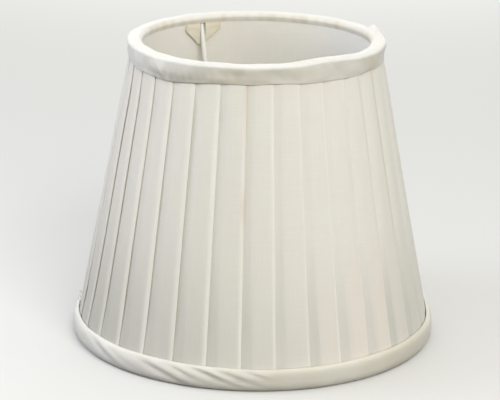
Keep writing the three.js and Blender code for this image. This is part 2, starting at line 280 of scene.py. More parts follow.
@dataclass
class Surface:
    """A grid of points that becomes one mesh piece.

    Rows run along the first axis and columns along the second. Going along a row and then up a column turns
    anticlockwise when seen from outside.
    """

    name: str
    points: Array
    uv: Array | None = None
    closed: bool = False
    capped: bool = False
    marks: dict[Mark, Array] = field(default_factory=dict)
    gaps: Array | None = None

    def build(self) -> bpy.types.Object:
        """Puts the grid into a mesh of quads, with the last column joined to the first if it is closed.

        Returns:
            The new object, at the origin.
        """
        rows, columns = self.points.shape[:2]
        spans = columns if self.closed else columns - 1
        row, column = np.mgrid[0 : rows - 1, 0:spans]
        corner_rows = np.stack([row, row, row + 1, row + 1], axis=-1)
        corner_columns = np.stack([column, column + 1, column + 1, column], axis=-1)
        if self.gaps is not None:
            corner_rows = corner_rows[~self.gaps]
            corner_columns = corner_columns[~self.gaps]
        corner_rows = corner_rows.reshape(-1, 4)
        corner_columns = corner_columns.reshape(-1, 4)
        faces = (corner_rows * columns + corner_columns % columns).tolist()
        if self.capped:
            faces.append(list(range(columns))[::-1])
            faces.append(list(range((rows - 1) * columns, rows * columns)))

        mesh = bpy.data.meshes.new(self.name)
        mesh.from_pydata((self.points.reshape(-1, 3) * MM).tolist(), [], faces)
        mesh.polygons.foreach_set("use_smooth", np.ones(len(faces), dtype=bool))
        if self.uv is not None:
            layer = mesh.uv_layers.new(name=UV_LAYER)
            corners = self.uv[corner_rows, corner_columns].reshape(-1, 2)
            if self.capped:
                corners = np.concatenate([corners, self.uv[0, :columns][::-1], self.uv[-1, :columns]])
            layer.data.foreach_set("uv", corners.astype(np.float32).ravel())
        for mark, amounts in self.marks.items():
            attribute = mesh.attributes.new(mark.value, "FLOAT", "POINT")
            attribute.data.foreach_set("value", amounts.astype(np.float32).ravel())
        mesh.update()
        piece = bpy.data.objects.new(self.name, mesh)
        bpy.context.scene.collection.objects.link(piece)
        return piece


def tube(name: str, path: Array, side: Array, diameter: float, sides: int, end_round: float = 0.0) -> Surface:
    """A round wire: a circle carried along a path.

    At each point the circle stands square to the path. Its first spoke is the path's direction crossed with
    the side vector, and its second is that spoke crossed with the direction. Two narrower circles round off
    each end.

    Args:
        name: Name of the piece.
        path: Points along the middle of the wire.
        side: A vector that the path is never parallel to.
        diameter: Thickness of the wire.
        sides: Points in each circle.
        end_round: How far back from each end the rounding starts.

    Returns:
        The wire's surface, with closed ends.
    """
    step = np.gradient(path, axis=0)
    along = step / np.linalg.norm(step, axis=1, keepdims=True)
    radius = np.full(len(path), diameter / 2.0)
    if end_round > 0.0:
        start, end = path[0], path[-1]
        inset = END_INSET * end_round
        path = np.concatenate(
            [[start, start + along[0] * inset, start + along[0] * end_round], path[1:-1],
             [end - along[-1] * end_round, end - along[-1] * inset, end]]
        )
        along = np.concatenate([along[[0, 0, 0]], along[1:-1], along[[-1, -1, -1]]])
        ends = diameter / 2.0 * np.array(END_RADII)
        radius = np.concatenate([ends, radius[1:-1], ends[::-1]])
    first = np.cross(along, side)
    first /= np.linalg.norm(first, axis=1, keepdims=True)
    second = np.cross(first, along)
    angle = np.linspace(0.0, 2.0 * np.pi, sides, endpoint=False)
    cos, sin = np.cos(angle)[None, :, None], np.sin(angle)[None, :, None]
    spokes = cos * first[:, None, :] - sin * second[:, None, :]
    points = path[:, None, :] + radius[:, None, None] * spokes
    length = np.concatenate([[0.0], np.cumsum(np.linalg.norm(np.diff(path, axis=0), axis=1))])
    girth = np.linspace(0.0, np.pi * diameter, sides + 1)
    uv = np.stack(np.meshgrid(girth, length), axis=-1)
    return Surface(name, points, uv, closed=True, capped=True)


def spline(knots: Array, steps: int) -> Array:
    """A smooth line through knots: a centripetal Catmull-Rom curve.

    Between two knots each point is a blend of blends of the four nearest knots, spaced by the square root of
    the distances between them. The end knots are doubled outwards in a straight line.

    Args:
        knots: Points that the line goes through.
        steps: Points between each knot and the next.

    Returns:
        The points of the line, both ends included.
    """
    padded = np.concatenate([[2 * knots[0] - knots[1]], knots, [2 * knots[-1] - knots[-2]]])
    p0, p1, p2, p3 = (padded[i : len(padded) - 3 + i, None, :] for i in range(4))
    pairs = ((p0, p1), (p1, p2), (p2, p3))
    reach = [np.sqrt(np.linalg.norm(b - a, axis=-1, keepdims=True)) for a, b in pairs]
    t1 = reach[0]
    t2 = t1 + reach[1]
    t3 = t2 + reach[2]
    t = t1 + (t2 - t1) * np.linspace(0.0, 1.0, steps, endpoint=False)[None, :, None]
    a1 = (t1 - t) / t1 * p0 + t / t1 * p1
    a2 = (t2 - t) / (t2 - t1) * p1 + (t - t1) / (t2 - t1) * p2
    a3 = (t3 - t) / (t3 - t2) * p2 + (t - t2) / (t3 - t2) * p3
    b1 = (t2 - t) / t2 * a1 + t / t2 * a2
    b2 = (t3 - t) / (t3 - t1) * a2 + (t - t1) / (t3 - t1) * a3
    curve = (t2 - t) / (t2 - t1) * b1 + (t - t1) / (t2 - t1) * b2
    return np.concatenate([curve.reshape(-1, 3), knots[-1:]])


def thicken(piece: bpy.types.Object, thickness: float, offset: float) -> None:
    """Gives a sheet its thickness.

    Args:
        piece: The sheet.
        thickness: Its thickness in millimetres.
        offset: 0 to stand on both sides of the surface, 1 to stand outside it, -1 to stand inside it.
    """
    solid = piece.modifiers.new("thickness", "SOLIDIFY")
    solid.thickness = thickness * MM
    solid.offset = offset


def dress(piece: bpy.types.Object, finish: bpy.types.Material, slot: Slot, body: Body, *nodes: str) -> None:
    """Finishes a piece, rides it on its body and hides the CAD nodes that it stands for.

    Args:
        piece: The piece.
        finish: Its material.
        slot: The record's slot that the finish belongs to. Not used.
        body: The body that carries it.
        *nodes: The CAD nodes that it replaces.
    """
    piece.data.materials.clear()
    piece.data.materials.append(finish)
    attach(piece, body.value)
    if nodes:
        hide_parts(*nodes)
    log.info("%s rides on %s", piece.name, body.value)


class Graph:
    """A material's node tree, with short calls for adding and linking nodes."""

    def __init__(self, name: str) -> None:
        """Starts a material with one Principled shader.

        Args:
            name: Name of the material.
        """
        self.material = bpy.data.materials.new(name)
        self.material.use_nodes = True
        self.tree = self.material.node_tree
        self.shader = self.tree.nodes["Principled BSDF"]

    def add(self, kind: str, settings: dict[str, object] | None = None, **sockets: object) -> bpy.types.Node:
        """Adds a node.

        Args:
            kind: Its type, without the ShaderNode in front.
            settings: Its own properties.
            **sockets: Values for its inputs, or outputs of other nodes to link to them, by input name with
                underscores for spaces.

        Returns:
            The node.
        """
        node = self.tree.nodes.new("ShaderNode" + kind)
        for key, value in (settings or {}).items():
            setattr(node, key, value)
        for key, value in sockets.items():
            self.set(node, key.replace("_", " "), value)
        return node

    def set(self, node: bpy.types.Node, socket: str, value: object) -> None:
        """Sets an input by name, or links another node's output to it.

        Args:
            node: The node.
            socket: Name of the input.
            value: A constant or an output socket.
        """
        self.feed([s for s in node.inputs if s.name == socket and s.enabled][0], value)

    def feed(self, socket: bpy.types.NodeSocket, value: object) -> None:
        """Sets an input, or links another node's output to it.

        Args:
            socket: The input.
            value: A constant or an output socket.
        """
        if isinstance(value, bpy.types.NodeSocket):
            self.tree.links.new(value, socket)
        else:
            socket.default_value = value

    def math(self, operation: str, first: object, second: object) -> bpy.types.NodeSocket:
        """A sum, a product or the like.

        Args:
            operation: What the Math node does.
            first: First value or its output.
            second: Second value or its output.

        Returns:
            The result's output.
        """
        node = self.add("Math", {"operation": operation})
        for socket, value in zip(node.inputs, (first, second)):
            self.feed(socket, value)
        return node.outputs[0]

    def mix(self, share: object, first: object, second: object, blend: str = "MIX") -> bpy.types.NodeSocket:
        """A colour between two others.

        Args:
            share: How much of the second colour, from 0 to 1.
            first: First colour or its output.
            second: Second colour or its output.
            blend: The way they are blended.

        Returns:
            The blended colour's output.
        """
        node = self.add("Mix", {"data_type": "RGBA", "blend_type": blend})
        for name, value in (("Factor", share), ("A", first), ("B", second)):
            if isinstance(value, tuple):
                value = (*value, 1.0)
            self.set(node, name, value)
        return [s for s in node.outputs if s.enabled][0]

    def spread(self, value: object, low: float, high: float, to_low: float,
               to_high: float) -> bpy.types.NodeSocket:
        """A value mapped from one range to another and held within it."""
        node = self.add("MapRange", Value=value, From_Min=low, From_Max=high, To_Min=to_low, To_Max=to_high)
        return node.outputs[0]

    def mark(self, mark: Mark) -> bpy.types.NodeSocket:
        """The amount of a mark at each point of the piece."""
        return self.add("Attribute", {"attribute_name": mark.value}).outputs["Fac"]

    def shine(self, **sockets: object) -> None:
        """Sets inputs of the Principled shader by name."""
        for key, value in sockets.items():
            self.set(self.shader, key.replace("_", " "), value)


@dataclass(frozen=True)
class ClothFinish:
    """A plain-woven cloth: two sets of threads, slubs along both, broad mottling and marks of wear.

    It is grey where painted shade and greying are marked, pale where a painted highlight and painted light
    are marked, blushed and stained in places, and darker where the stain mark carries a painted shadow.
    """

    name: str
    colour: Colour
    mottle: Colour
    # Colour of painted shade and of greying.
    grey: Colour = (0.53, 0.52, 0.47)
    stain: Colour = (0.62, 0.5, 0.36)
    blush: Colour = (0.84, 0.75, 0.66)
    # Colour of painted highlights and of painted light.
    pale: Colour = (0.93, 0.915, 0.85)
    roughness: float = 0.62
    sheen: float = 0.15
    glow: float = 0.35
    glow_depth: float = 0.6
    thread: float = 0.45
    thread_depth: float = 0.03
    thread_turn: float = 0.0
    slub_across: float = 2.6
    slub_along: float = 0.07
    slub_depth: float = 0.05
    bump: float = 0.55
    mottle_scale: float = 26.0

    def material(self) -> bpy.types.Material:
        """Builds the node material.

        Threads are wave bands along both directions of the cloth's own flat map. Slubs are noise stretched
        along each. They set the bump, and a little of the colour and roughness.

        Returns:
            The material.
        """
        graph = Graph(self.name)
        flat = graph.add("UVMap", {"uv_map": UV_LAYER}).outputs["UV"]
        turn = (0.0, 0.0, math.radians(self.thread_turn))
        flat = graph.add("Mapping", Vector=flat, Rotation=turn).outputs[0]
        wave_period = 2.0 * math.pi / 20.0
        threads = [
            graph.add("TexWave", {"bands_direction": axis}, Vector=flat, Scale=wave_period / self.thread,
                      Distortion=0.4, Detail=1.0, Detail_Scale=0.6).outputs["Fac"]
            for axis in ("X", "Y")
        ]
        slubs = []
        for stretch in ((self.slub_across, self.slub_along, 1.0), (self.slub_along, self.slub_across, 1.0)):
            place = graph.add("Mapping", Vector=flat, Scale=stretch).outputs[0]
            noise = graph.add("TexNoise", Vector=place, Scale=1.0, Detail=2.0, Roughness=0.55)
            slubs.append(noise.outputs["Fac"])
        weave = graph.math("MULTIPLY", graph.math("ADD", *threads), 0.5)
        slub = graph.math("MULTIPLY", graph.math("ADD", *slubs), 0.5)
        place = graph.add("TexCoord").outputs["Object"]
        noise = graph.add("TexNoise", Vector=place, Scale=self.mottle_scale, Detail=3.0, Roughness=0.5)
        broad = noise.outputs["Fac"]

        colour = graph.mix(graph.spread(broad, 0.35, 0.7, 0.0, 1.0), self.colour, self.mottle)
        for mark, tint in ((Mark.GREY, self.grey), (Mark.BLUSH, self.blush), (Mark.PALE, self.pale)):
            colour = graph.mix(graph.mark(mark), colour, tint)
        blotch = graph.math("MULTIPLY", graph.mark(Mark.STAIN_AND_SHADE), graph.spread(slub, 0.35, 0.65, 0.7, 1.15))
        colour = graph.mix(blotch, colour, self.stain)
        streak = graph.spread(slub, 0.3, 0.7, 0.955, 1.02)
        streaks = graph.add("CombineColor", Red=streak, Green=streak, Blue=streak).outputs[0]
        colour = graph.mix(1.0, colour, streaks, "MULTIPLY")

        height = graph.math("ADD", graph.math("MULTIPLY", weave, self.thread_depth),
                            graph.math("MULTIPLY", slub, self.slub_depth))
        bump = graph.add("Bump", Strength=self.bump, Distance=MM, Height=height).outputs[0]
        graph.shine(
            Base_Color=colour,
            Roughness=graph.spread(slub, 0.3, 0.7, self.roughness - 0.05, self.roughness + 0.06),
            Normal=bump,
            Sheen_Weight=self.sheen,
            Sheen_Roughness=0.4,
            Specular_IOR_Level=0.3,
            Subsurface_Weight=self.glow,
            Subsurface_Radius=(1.0, 0.95, 0.85),
            Subsurface_Scale=self.glow_depth * MM,
        )
        return graph.material


@dataclass(frozen=True)
class CoatedWireFinish:
    """White coated wire: a thin, slightly yellowed coat with fine lumps and greyer worn flecks."""

    name: str = "white_coated_wire"
    colour: Colour = (0.78, 0.775, 0.75)
    yellowed: Colour = (0.73, 0.7, 0.61)
    worn: Colour = (0.46, 0.45, 0.42)
    roughness: float = 0.38

    def material(self) -> bpy.types.Material:
        """Builds the node material.

        Broad noise yellows the coat, the peaks of a fine noise bare greyer flecks, and both roughen it.

        Returns:
            The material.
        """
        graph = Graph(self.name)
        place = graph.add("TexCoord").outputs["Object"]
        broad = graph.add("TexNoise", Vector=place, Scale=90.0, Detail=2.0).outputs["Fac"]
        fine = graph.add("TexNoise", Vector=place, Scale=900.0, Detail=3.0).outputs["Fac"]
        colour = graph.mix(graph.spread(broad, 0.45, 0.75, 0.0, 0.6), self.colour, self.yellowed)
        flecks = graph.spread(fine, 0.66, 0.72, 0.0, 0.7)
        colour = graph.mix(flecks, colour, self.worn)
        graph.shine(
            Base_Color=colour,
            Roughness=graph.spread(fine, 0.3, 0.7, self.roughness - 0.06, self.roughness + 0.12),
            Normal=graph.add("Bump", Strength=0.3, Distance=0.05 * MM, Height=fine).outputs[0],
        )
        return graph.material


@dataclass(frozen=True)
class PlatedSteelFinish:
    """Zinc-plated steel: a pale grey metal with drawn lines along it, dull patches and a little tarnish."""

    name: str
    colour: Colour = (0.66, 0.66, 0.65)
    tarnish: Colour = (0.42, 0.39, 0.33)
    roughness: float = 0.3
    line_scale: Point = (2.0, 0.05, 1.0)

    def material(self) -> bpy.types.Material:
        """Builds the node material.

        Noise stretched along the piece's own flat map gives the drawn lines, and broad noise dull patches.

        Returns:
            The material.
        """
        graph = Graph(self.name)
        flat = graph.add("UVMap", {"uv_map": UV_LAYER}).outputs["UV"]
        drawn = graph.add("Mapping", Vector=flat, Scale=self.line_scale).outputs[0]
        lines = graph.add("TexNoise", Vector=drawn, Scale=3.0, Detail=3.0).outputs["Fac"]
        place = graph.add("TexCoord").outputs["Object"]
        broad = graph.add("TexNoise", Vector=place, Scale=180.0, Detail=3.0).outputs["Fac"]
        colour = graph.mix(graph.spread(broad, 0.5, 0.78, 0.0, 0.55), self.colour, self.tarnish)
        rough = graph.math("ADD", graph.spread(lines, 0.3, 0.7, -0.06, 0.08),
                           graph.spread(broad, 0.3, 0.7, self.roughness - 0.05, self.roughness + 0.15))
        graph.shine(
            Base_Color=colour,
            Metallic=1.0,
            Roughness=rough,
            Normal=graph.add("Bump", Strength=0.25, Distance=0.04 * MM, Height=lines).outputs[0],
        )
        return graph.material


@dataclass(frozen=True)
class Wall:
    """Where the layers of the shade's wall lie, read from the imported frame."""

    cover: Cone
    lining: Cone
    top_ring_radius: float
    bottom_ring_radius: float
    top_rim_z: float
    bottom_rim_z: float
    arm_azimuth: float

    @classmethod
    def from_frame(cls) -> "Wall":
        """Measures the wall on the CAD nodes.

        Returns:
            The wall.
        """
        clip_tilt = next(j for j in frame["joints"] if j["name"] == "clip_tilt")
        axis = clip_tilt["axis"]
        return cls(
            cover=Cone.through("pleated_cover"),
            lining=Cone.through("lining", inner=True),
            top_ring_radius=cls._ring_radius("top_ring"),
            bottom_ring_radius=cls._ring_radius("bottom_ring"),
            top_rim_z=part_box("top_trim")[1].z / MM,
            bottom_rim_z=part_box("bottom_trim")[0].z / MM,
            arm_azimuth=math.degrees(math.atan2(axis[1], axis[0])),
        )

    @staticmethod
    def _ring_radius(node: str) -> float:
        """Radius of a wire ring to the middle of its wire: halfway between its inner and outer edge.

        Args:
            node: Name of the ring.

        Returns:
            The radius.
        """
        points = node_points(node)
        radius = np.hypot(points[:, 0], points[:, 1])
        return float(radius.min() + radius.max()) / 2.0


@dataclass
class PleatedCover:
    """The outer cover: one strip of thin cloth laid in knife pleats round the frame.

    Along the strip the cloth comes out from under the last pleat, shows as a single band, rises to the outer
    face, folds back under itself at the fold edge, turns again at the hidden inner fold and goes on.
    """

    wall: Wall
    pleats: int = 33
    first_fold: float = 277.5
    cloth: float = 0.18
    fold_radius: float = 0.15
    fold_radius_ends: float = 0.1
    pressed_start: float = -2.0
    pressed_reach: float = 16.0
    band_bottom: float = 5.2
    band_top: float = 0.7
    rise_past_band: float = 1.0
    least_rise: float = 4.4
    least_turn: float = 2.6
    step_ends: float = 0.5
    step_middle: float = 0.64
    step_flat: float = 0.5
    edge_tilt: float = 0.1
    edge_tilt_middle: float = 0.5
    edge_tilt_flat: float = 0.3
    low_edge: float = 9.2
    high_edge: float = 118.2
    lift: float = 0.06
    lift_left: float = 0.24
    lift_azimuth: float = 240.0
    lift_reach: float = 16.0
    lift_power: float = 2.5
    lift_unlike: Span = (0.75, 1.25)
    lean: float = 3.0
    lean_zero: float = 275.0
    gathered: float = 1.65
    gathered_azimuth: float = 226.0
    gathered_reach: float = 36.0
    crisp_start: Span = (150.0, 180.0)
    crisp_end: Span = (276.0, 246.0)
    wander: float = 0.1
    crease_back: float = 2.0
    crease_back_flat: float = 1.4
    crease_depth: float = 0.03
    crease_width: float = 0.3
    waviness: Ripple = Ripple(0.1, 9, 40)
    rib: float = 0.05
    rib_spacing: float = 3.3
    rib_drift: float = 2.5
    rows: int = 34
    band_bend: float = 0.2
    crease_clear: float = 0.8
    crease_half: float = 0.35
    edge_face: float = 0.75
    under_clear: float = 0.4

    mark_unlike: Span = (0.5, 1.15)
    # Painted shade: the single band is greyed for the dim inside seen through one layer, low down and where
    # light comes through.
    see_through: Patch = Patch(0.36, fade=(62.0, 16.0))
    lit_through: Patch = Patch(0.75, 335.0, 62.0)
    unlit: float = 0.25
    single_end: Span = (0.5, -0.8)
    # Painted shade: the cover is darker towards the bottom all round, most on the left, and darker at the far
    # right.
    painted_low_shade: tuple[Patch, ...] = (
        Patch(0.3, fade=(64.0, 8.0)),
        Patch(0.56, 205.0, 34.0, fade=(96.0, 8.0)),
        Patch(0.14, 250.0, 18.0, fade=(90.0, 8.0)),
        Patch(0.16, 334.0, 12.0, fade=(110.0, 8.0)),
        Patch(0.06, 334.0, 12.0),
    )
    run_down: Patch = Patch(0.32, 265.6, 1.1, fade=(84.0, 120.0))
    browned_thread: Patch = Patch(0.2, 266.2, 0.5, fade=(40.0, 70.0))
    blotch: Patch = Patch(0.36, 265.8, 0.9, band=(71.0, 5.0))
    browned_fold: Patch = Patch(0.6, 331.4, 0.7, fade=(8.0, 90.0))
    next_fold: Patch = Patch(0.4, 320.6, 0.5, fade=(50.0, 118.0))
    under_trim: Patch = Patch(0.12, 290.0, 26.0, fade=(110.0, 118.0))
    # Painted shadow in the corner under each fold edge on the right.
    corner: Patch = Patch(0.3, 318.0, 17.0, band=(0.1, 0.4))
    blushes: tuple[Patch, ...] = (
        Patch(0.65, 310.0, 16.0, band=(20.0, 30.0)),
        Patch(0.3, 322.0, 5.0, band=(48.0, 20.0)),
    )
    blush_start: float = 3.0
    # Painted highlight along each fold edge, where the rounded edge would catch the light.
    painted_highlight: float = 0.45
    painted_highlight_crisp: float = 0.3
    painted_highlight_less: Patch = Patch(0.4, 200.0, 22.0)
    painted_highlight_back: float = 0.3
    painted_highlight_width: float = 0.7
    painted_highlight_width_crisp: float = 0.6

    def build(self, finish: ClothFinish) -> bpy.types.Object:
        """Args:
            finish: Its cloth.

        Returns:
            The piece.
        """
        piece = self._surface().build()
        thicken(piece, self.cloth, 0.0)
        dress(piece, finish.material(), Slot.PLEAT, Body.SHADE, "pleated_cover")
        self._strip_length() * MM
        return piece

    def _pitch(self, height: Array) -> Array:
        """Distance between fold edges at a height: the way round over the number of pleats."""
        return 2.0 * np.pi * self.wall.cover.radius(height) / self.pleats

    def _band(self, rise: Array) -> Array:
        """Width of the single band at a share of the height, on a straight line from bottom to top."""
        return between(self.band_bottom, self.band_top, rise)

    def _strip_length(self) -> float:
        """Flat length of the strip: each pleat takes its pitch and twice what lies folded under it.

        Returns:
            The length, from the pitch and the band at half height.
        """
        middle = (self.wall.cover.low_z + self.wall.cover.high_z) / 2.0
        pitch = float(self._pitch(np.array(middle)))
        return self.pleats * (pitch + 2.0 * (pitch - float(self._band(np.array(0.5)))))

    def _fold_azimuth(self, number: Array, rise: Array, wander: Array) -> Array:
        """Azimuth of a fold edge: evenly spaced, drawn back in a bell on the left, with a lean and a wander.

        The lean goes with the sine of the fold's place.

        Args:
            number: Which fold.
            rise: Share of the height.
            wander: Each fold's own small error.

        Returns:
            The azimuth in degrees.
        """
        even = self.first_fold + 360.0 / self.pleats * number
        lean = self.lean * np.sin(np.radians(even - self.lean_zero))
        gathered = self.gathered * hump(even, self.gathered_azimuth, self.gathered_reach)
        return even - gathered + lean * (rise - 0.5) + wander[number % self.pleats]

    def _crisp(self, azimuth: Array) -> Array:
        """How strongly a fold stands: 1 on the left, 0 where pleats lie flatter, smoothsteps between."""
        place = azimuth % 360.0
        return smoothstep(*self.crisp_start, place) * smoothstep(*self.crisp_end, place)

    def _surface(self) -> Surface:
        """The folded strip as one closed grid: heights by places along the strip.

        Within a pleat, x runs from the last fold edge to its own, and depth is measured inwards from the
        cover's cone. The outer layer starts at the step's depth and rises by a smoothstep to the cone, less a
        lift that grows as a power of x, and past the pressed crease it slopes down to the fold edge.
        Folds are half circles, and the layer behind keeps two fold radii below the outer one. Faint upright
        ribs are a sine of x with a phase of its own in each pleat.

        Returns:
            The surface, with its wear and its painted light and shade marked.
        """
        rng = np.random.default_rng(SEED)
        cone = self.wall.cover
        height = np.linspace(cone.low_z, cone.high_z, self.rows)[:, None, None]
        rise = cone.rise(height)
        number = np.arange(self.pleats)[None, :, None]
        wander = rng.normal(0.0, self.wander, self.pleats)
        left = self._fold_azimuth(number, rise, wander)
        right = self._fold_azimuth(number + 1, rise, wander)

        pitch = self._pitch(height)
        band = self._band(rise) * np.ones_like(left)
        clear = np.minimum(height - self.low_edge, self.high_edge - height)
        held = smoothstep(self.pressed_start, self.pressed_reach, clear)
        crisp = self._crisp(right)
        step, next_step = (
            self.step_ends + between(self.step_flat, self.step_middle, self._crisp(fold)) * held
            for fold in (left, right)
        )
        tilt = self.edge_tilt + between(self.edge_tilt_flat, self.edge_tilt_middle, crisp) * held
        phase = rng.uniform(0.0, 2.0 * np.pi, (1, self.pleats, 1))
        drift = rng.uniform(-self.rib_drift, self.rib_drift, (1, self.pleats, 1))
        unlike = rng.uniform(*self.lift_unlike, (1, self.pleats, 1))
        lift = self.lift + self.lift_left * hump(right, self.lift_azimuth, self.lift_reach)
        lift = lift * held * unlike
        radius = between(self.fold_radius_ends, self.fold_radius, held)
        start_rise = np.maximum(band + self.rise_past_band, self.least_rise)
        turn_at = np.maximum(band, self.least_turn)
        crease = pitch - between(self.crease_back_flat, self.crease_back, crisp)

        def outer(x: Array) -> Array:
            """Depth of the middle of the outer layer.

            Args:
                x: Places along the pleat.

            Returns:
                The depth at each.
            """
            climb = np.clip(x / start_rise, 0.0, 1.0)
            sunk = step * (1.0 - smoothstep(0.0, start_rise, x))
            bowed = lift * np.clip(x / pitch, 0.0, 1.0) ** self.lift_power
            sloped = tilt * np.clip((x - crease) / (pitch - crease), 0.0, 1.0)
            pressed = self.crease_depth * bell(x, crease, self.crease_width)
            ribs = self.rib * np.sin(2.0 * np.pi * x / self.rib_spacing + phase + drift * rise)
            return self.cloth / 2.0 + sunk - bowed + sloped + pressed + ribs * climb

        def along(first: Array, last: Array, count: int) -> Array:
            """Evenly spaced places from first to last, in every pleat."""
            return between(first, last, np.linspace(0.0, 1.0, count)) + 0.0 * band

        band_x = along(0.0, band - self.band_bend, 7)
        panel_x = along(band + self.band_bend, crease - self.crease_clear, 6)
        crease_x = along(crease - self.crease_half, crease + self.crease_half, 3)
        edge_x = along(pitch - self.edge_face, pitch - radius, 2)
        front_x = np.concatenate([band_x, panel_x, crease_x, edge_x], axis=2)
        front_depth = outer(front_x)

        fold_angle = np.radians(np.array([-60.0, -30.0, 0.0, 30.0, 60.0]))
        fold_middle = pitch - radius + 0.0 * band
        fold_x = fold_middle + radius * np.cos(fold_angle)
        fold_depth = outer(fold_middle) + radius + radius * np.sin(fold_angle)

        back_x = along(fold_middle, turn_at + radius, 6)
        back_depth = outer(back_x) + 2.0 * radius

        turn_angle = np.radians(np.array([-45.0, 0.0, 45.0]))
        turn_middle = turn_at + radius
        turn_x = turn_middle - radius * np.cos(turn_angle)
        turn_depth = outer(turn_middle) + 3.0 * radius + radius * np.sin(turn_angle)

        under_x = along(turn_middle, pitch - self.under_clear, 3)
        under_start = outer(turn_middle) + 4.0 * radius
        under_depth = along(under_start, self.cloth / 2.0 + next_step, 3)

        x = np.concatenate([front_x, fold_x, back_x, turn_x, under_x], axis=2)
        depth = np.concatenate([front_depth, fold_depth, back_depth, turn_depth, under_depth], axis=2)
        azimuth = left + (right - left) * x / pitch
        uneven = self.waviness.at(rng, azimuth, rise) * held
        points = round_axis(cone.radius(height) - depth + uneven, azimuth, height)

        front, shown = front_x.shape[2], front_x.shape[2] + fold_x.shape[2]
        amounts = self._wear_and_painted_light(rng, azimuth, height, x, (band, pitch, crisp), (front, shown))

        columns = self.pleats * x.shape[2]
        points = points.reshape(self.rows, columns, 3)
        middle = points[self.rows // 2]
        steps = np.linalg.norm(np.diff(np.concatenate([middle, middle[:1]]), axis=0), axis=1)
        strip = np.concatenate([[0.0], np.cumsum(steps)])
        uv = np.stack(np.broadcast_arrays(strip[None, :], height[:, :, 0]), axis=-1)
        marks = {mark: amount.reshape(self.rows, columns) for mark, amount in amounts.items()}
        return Surface("pleated_cover_cloth", points, uv, closed=True, marks=marks)

    def _wear_and_painted_light(self, rng: np.random.Generator, azimuth: Array, height: Array, x: Array,
              pleat: tuple[Array, Array, Array], ends: tuple[int, int]) -> dict[Mark, Array]:
        """How worn each point of the strip is, and where light and shade are painted on it.

        The single band is painted grey, a painted shade for the dim inside seen through one layer, stronger
        where light comes through and in its own strength in each pleat, and painted shade darkens the cover
        towards the bottom, most on the left and at the far right. Stains and blushes are sums of patches, and
        the stain mark also holds a painted shadow in the corner under each fold edge on the right. Fold edges
        carry a painted highlight in a bell along x.

        Args:
            rng: Source of each pleat's own strength.
            azimuth: Angle of each point.
            height: Height of each point.
            x: Place of each point along its pleat.
            pleat: Width of the single band, distance between folds, and how strongly the fold stands.
            ends: The columns of a pleat where its face and its fold end. Nothing hidden is marked.

        Returns:
            The amounts, from 0 to 1, by mark.
        """
        band, pitch, crisp = pleat
        front, shown = (np.arange(x.shape[2]) < end for end in ends)
        single = smoothstep(*self.single_end, x - band) * front
        unlike = rng.uniform(*self.mark_unlike, (1, self.pleats, 1))
        # Painted shade: the single band is greyed for the dim inside seen through one layer, more where light
        # comes through.
        lit = self.unlit + self.lit_through.at(azimuth)
        grey = self.see_through.at(azimuth, height) * single * unlike * lit
        grey = grey + patched(self.painted_low_shade, azimuth, height)
        stains = (self.run_down, self.browned_thread, self.blotch, self.browned_fold, self.next_fold,
                  self.under_trim)
        # The corner patch is a painted shadow under the fold edges on the right, carried by the stain mark.
        stain = patched(stains, azimuth, height) + self.corner.at(azimuth, x)
        blush = patched(self.blushes, azimuth, height) * smoothstep(0.0, self.blush_start, x - band)
        # Painted highlight: fold edges made paler where they would catch the light.
        painted_highlight = self.painted_highlight + self.painted_highlight_crisp * crisp - self.painted_highlight_less.at(azimuth)
        width = self.painted_highlight_width + self.painted_highlight_width_crisp * crisp
        pale = painted_highlight * bell(x, pitch - self.painted_highlight_back, width) * unlike
        amounts = {Mark.GREY: grey, Mark.STAIN_AND_SHADE: stain, Mark.BLUSH: blush, Mark.PALE: pale}
        return {mark: np.clip(amount, 0.0, 1.0) * shown for mark, amount in amounts.items()}


@dataclass
class Lining:
    """The plain cloth cone inside the frame, slit where each arm of the drop bar passes through it.

    At the back right it is painted paler, a painted light for light that shines through the cloth there.
    """

    wall: Wall
    cloth: float = 0.3
    columns: int = 240
    rows: int = 30
    hem: float = 0.25
    slit_columns: int = 2
    slit_depth: float = 5.9
    waviness: Ripple = Ripple(0.12, 8, 14)
    # Painted light: the back right is paler for light that shines through the cloth.
    painted_light_through: Patch = Patch(1.0, 20.0, 38.0)

    def build(self, finish: ClothFinish) -> bpy.types.Object:
        """Args:
            finish: Its cloth.

        Returns:
            The piece.
        """
        piece = self._surface().build()
        thicken(piece, self.cloth, 1.0)
        dress(piece, finish.material(), Slot.LINING, Body.SHADE, "lining")
        return piece

    def _surface(self) -> Surface:
        """The lining's inner face: a cone with a gentle ripple, less the faces of the two slits.

        A narrow row at each rim keeps the turned edge from shading the rest.

        Returns:
            The surface.
        """
        rng = np.random.default_rng(SEED + 1)
        cone = self.wall.lining
        spacing = 360.0 / self.columns
        azimuth = self.wall.arm_azimuth + spacing * np.arange(self.columns)[None, :]
        inside = np.linspace(cone.low_z + self.hem, cone.high_z - self.hem, self.rows - 2)
        height = np.concatenate([[cone.low_z], inside, [cone.high_z]])[:, None]
        rise = cone.rise(height)
        taut = np.sin(np.pi * rise) ** 0.5
        radius = cone.radius(height) + taut * self.waviness.at(rng, azimuth, rise)
        points = round_axis(radius, azimuth, height)

        half = self.slit_columns // 2
        column = np.arange(self.columns)
        arm = [(column + half) % self.columns, (column + half + self.columns // 2) % self.columns]
        in_slit = (arm[0] < self.slit_columns) | (arm[1] < self.slit_columns)
        above = height[:-1, 0] > cone.high_z - self.slit_depth
        around = np.radians(spacing) * np.arange(self.columns + 1) * cone.radius(np.array(cone.low_z))
        uv = np.stack(np.broadcast_arrays(around[None, :], height), axis=-1)
        # Painted light: the back right made paler for light that shines through the cloth there.
        painted_light_through = self.painted_light_through.at(azimuth) + 0.0 * height
        return Surface("lining_cloth_cone", points, uv, closed=True, gaps=above[:, None] & in_slit[None, :],
                       marks={Mark.PALE: painted_light_through})


